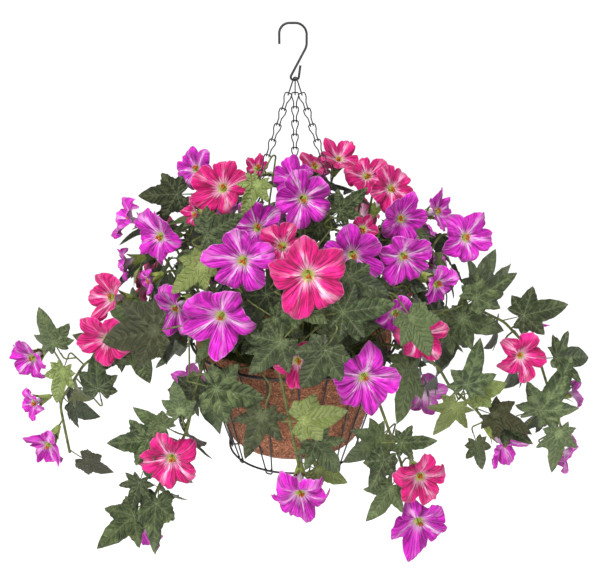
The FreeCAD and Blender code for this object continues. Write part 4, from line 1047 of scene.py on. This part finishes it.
def add_fibres(sheet, luck, levels, radii):
    """Loose coir strands: short curved hairs that lie on the wall and lift off it at their ends."""
    for _ in range(FIBRES):
        height = luck.uniform(levels[0], levels[-1])
        turn = luck.uniform(0, 2 * math.pi)
        ring = np.interp(height, levels, radii)
        outward = np.array([math.cos(turn), math.sin(turn), 0.0])
        lean = luck.uniform(-1.57, 1.57)
        along = np.cross(UP, outward) * math.cos(lean) * luck.choice([-1, 1]) + UP * math.sin(lean)
        bend = np.cross(outward, along) * luck.uniform(-0.45, 0.45)
        length = luck.uniform(4, 11) * MM
        lift = luck.uniform(0.0, 1.6) * MM
        start = outward * ring + UP * height
        points = []
        for share in FIBRE_SHARES:
            place = start + (along * share + bend * (share**2 - 0.1)) * length
            level = min(max(place[2], levels[0]), levels[-1] + 4 * MM)
            target = np.interp(level, levels, radii) + 0.25 * MM + lift * (4 * share**2) * (share > 0)
            place[:2] *= target / math.hypot(place[0], place[1])
            points.append(place)
        add_tube(sheet, points, FIBRE_RADII, 3, (0.5, luck.uniform(0, 1), 0.0, 0.0))


settle(make_liner(), "basket", "coco_fibre", "coco_liner")


# ---------------------------------------------------------------- weld beads
WELD_INSETS = [("rim_ring", 2.4), ("base_ring", 2.0)]  # mm inside the ring
WELD_SIZES = (1.9, 1.5, 2.3)  # mm
WELD_LEVEL = 6.0 * MM
WELD_POINTS = 12


def make_welds():
    """Small lumps of weld where the ribs meet the two rings."""
    sheet = Sheet()
    ribs = solids("ribs")
    number = 0
    for ring, inset in WELD_INSETS:
        low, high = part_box(ring)
        height = (low[2] + high[2]) / 2
        radius = high[0] - (high[2] - low[2]) / 2
        for points, _ in ribs:
            off = np.abs(points[:, 2] - height)
            level = points[off < WELD_LEVEL]
            if not len(level):
                level = points[np.argsort(off)[:WELD_POINTS]]
            turn = np.arctan2(level[:, 1], level[:, 0])
            middle = np.angle(np.exp(1j * turn).sum())
            away = (turn - middle + math.pi) % (2 * math.pi) - math.pi
            for side in (away > 0, away < 0):
                if not side.any():
                    continue
                place = middle + away[side].mean()
                outward = np.array([math.cos(place), math.sin(place), 0.0])
                directions = np.array([np.cross(UP, outward), outward, UP])
                centre = outward * (radius - inset * MM) + UP * height
                add_blob(sheet, centre, directions, WELD_SIZES, 0.18, number)
                number += 1
    return sheet.make("weld_beads", [WIRE])


settle(make_welds(), "basket", "black_wire")


# ---------------------------------------------------------------- floor, light and camera
def floor_material():
    shader = Shader("floor", Specular_IOR_Level=0.1)
    grain = shader.noise(shader.place(), 14.0, 2.0)
    colour = shader.ramp(grain, [(0.3, rgb(0.985, 0.985, 0.985)), (0.7, rgb(0.995, 0.995, 0.995))])
    return shader.finish(colour, 0.9, grain, 0.0001, 0.1)


FLOOR_HEIGHT = -2.0
FLOOR_HALF = 150.0
FLOOR_CORNERS = np.array([[-1, -1, 0], [1, -1, 0], [1, 1, 0], [-1, 1, 0]])
AMBIENT = 0.36
floor_sheet = Sheet()
floor_sheet.add(FLOOR_CORNERS * FLOOR_HALF + UP * FLOOR_HEIGHT, [np.array([[0, 1, 2, 3]])])
floor_sheet.make("floor", [floor_material()])

scene = bpy.context.scene
scene.view_settings.view_transform = "Standard"
world = bpy.data.worlds.new("studio")
world.use_nodes = True
backdrop = world.node_tree.nodes["Background"]
backdrop.inputs["Color"].default_value = (1.0, 1.0, 1.0, 1.0)
seen = world.node_tree.nodes.new("ShaderNodeLightPath")
strength = world.node_tree.nodes.new("ShaderNodeMapRange")
strength.inputs["To Min"].default_value = AMBIENT
strength.inputs["To Max"].default_value = 1.0
world.node_tree.links.new(seen.outputs["Is Camera Ray"], strength.inputs["Value"])
world.node_tree.links.new(strength.outputs["Result"], backdrop.inputs["Strength"])
scene.world = world


def aim(name, data, place, target):
    """A light or camera at a place, looking at a target."""
    thing = bpy.data.objects.new(name, data)
    bpy.context.collection.objects.link(thing)
    back = unit(np.array(place) - np.array(target))
    right = unit(np.cross(UP, back))
    matrix = np.eye(4)
    matrix[:3, 0] = right
    matrix[:3, 1] = np.cross(back, right)
    matrix[:3, 2] = back
    matrix[:3, 3] = place
    thing.matrix_world = Matrix(matrix)
    return thing


def add_soft_light(name, place, size, power):
    light = bpy.data.lights.new(name, "AREA")
    light.shape = "DISK"
    light.size = size
    light.energy = power
    aim(name, light, place, MIDDLE)


MIDDLE = (0.0, 0.0, -0.38)
KEY_PLACE = (-0.9, -1.5, 3.2)
sun = bpy.data.lights.new("key", "SUN")
sun.angle = math.radians(20.0)
sun.energy = 2.7
aim("key", sun, KEY_PLACE, MIDDLE)
add_soft_light("front", (-0.9, -2.2, 0.4), 1.4, 30.0)
add_soft_light("fill", (1.9, -1.6, 0.2), 1.8, 12.0)
add_soft_light("back", (0.7, 2.3, 0.7), 1.8, 30.0)

TARGET = np.array([0.009, 0.0, -0.352])
DISTANCE = 1.25
ELEVATION = math.radians(19.0)
lens = bpy.data.cameras.new("camera")
lens.lens = 53.6
lens.sensor_width = 36.0
eye = TARGET + DISTANCE * np.array([0.0, -math.cos(ELEVATION), math.sin(ELEVATION)])
scene.camera = aim("camera", lens, eye, TARGET)
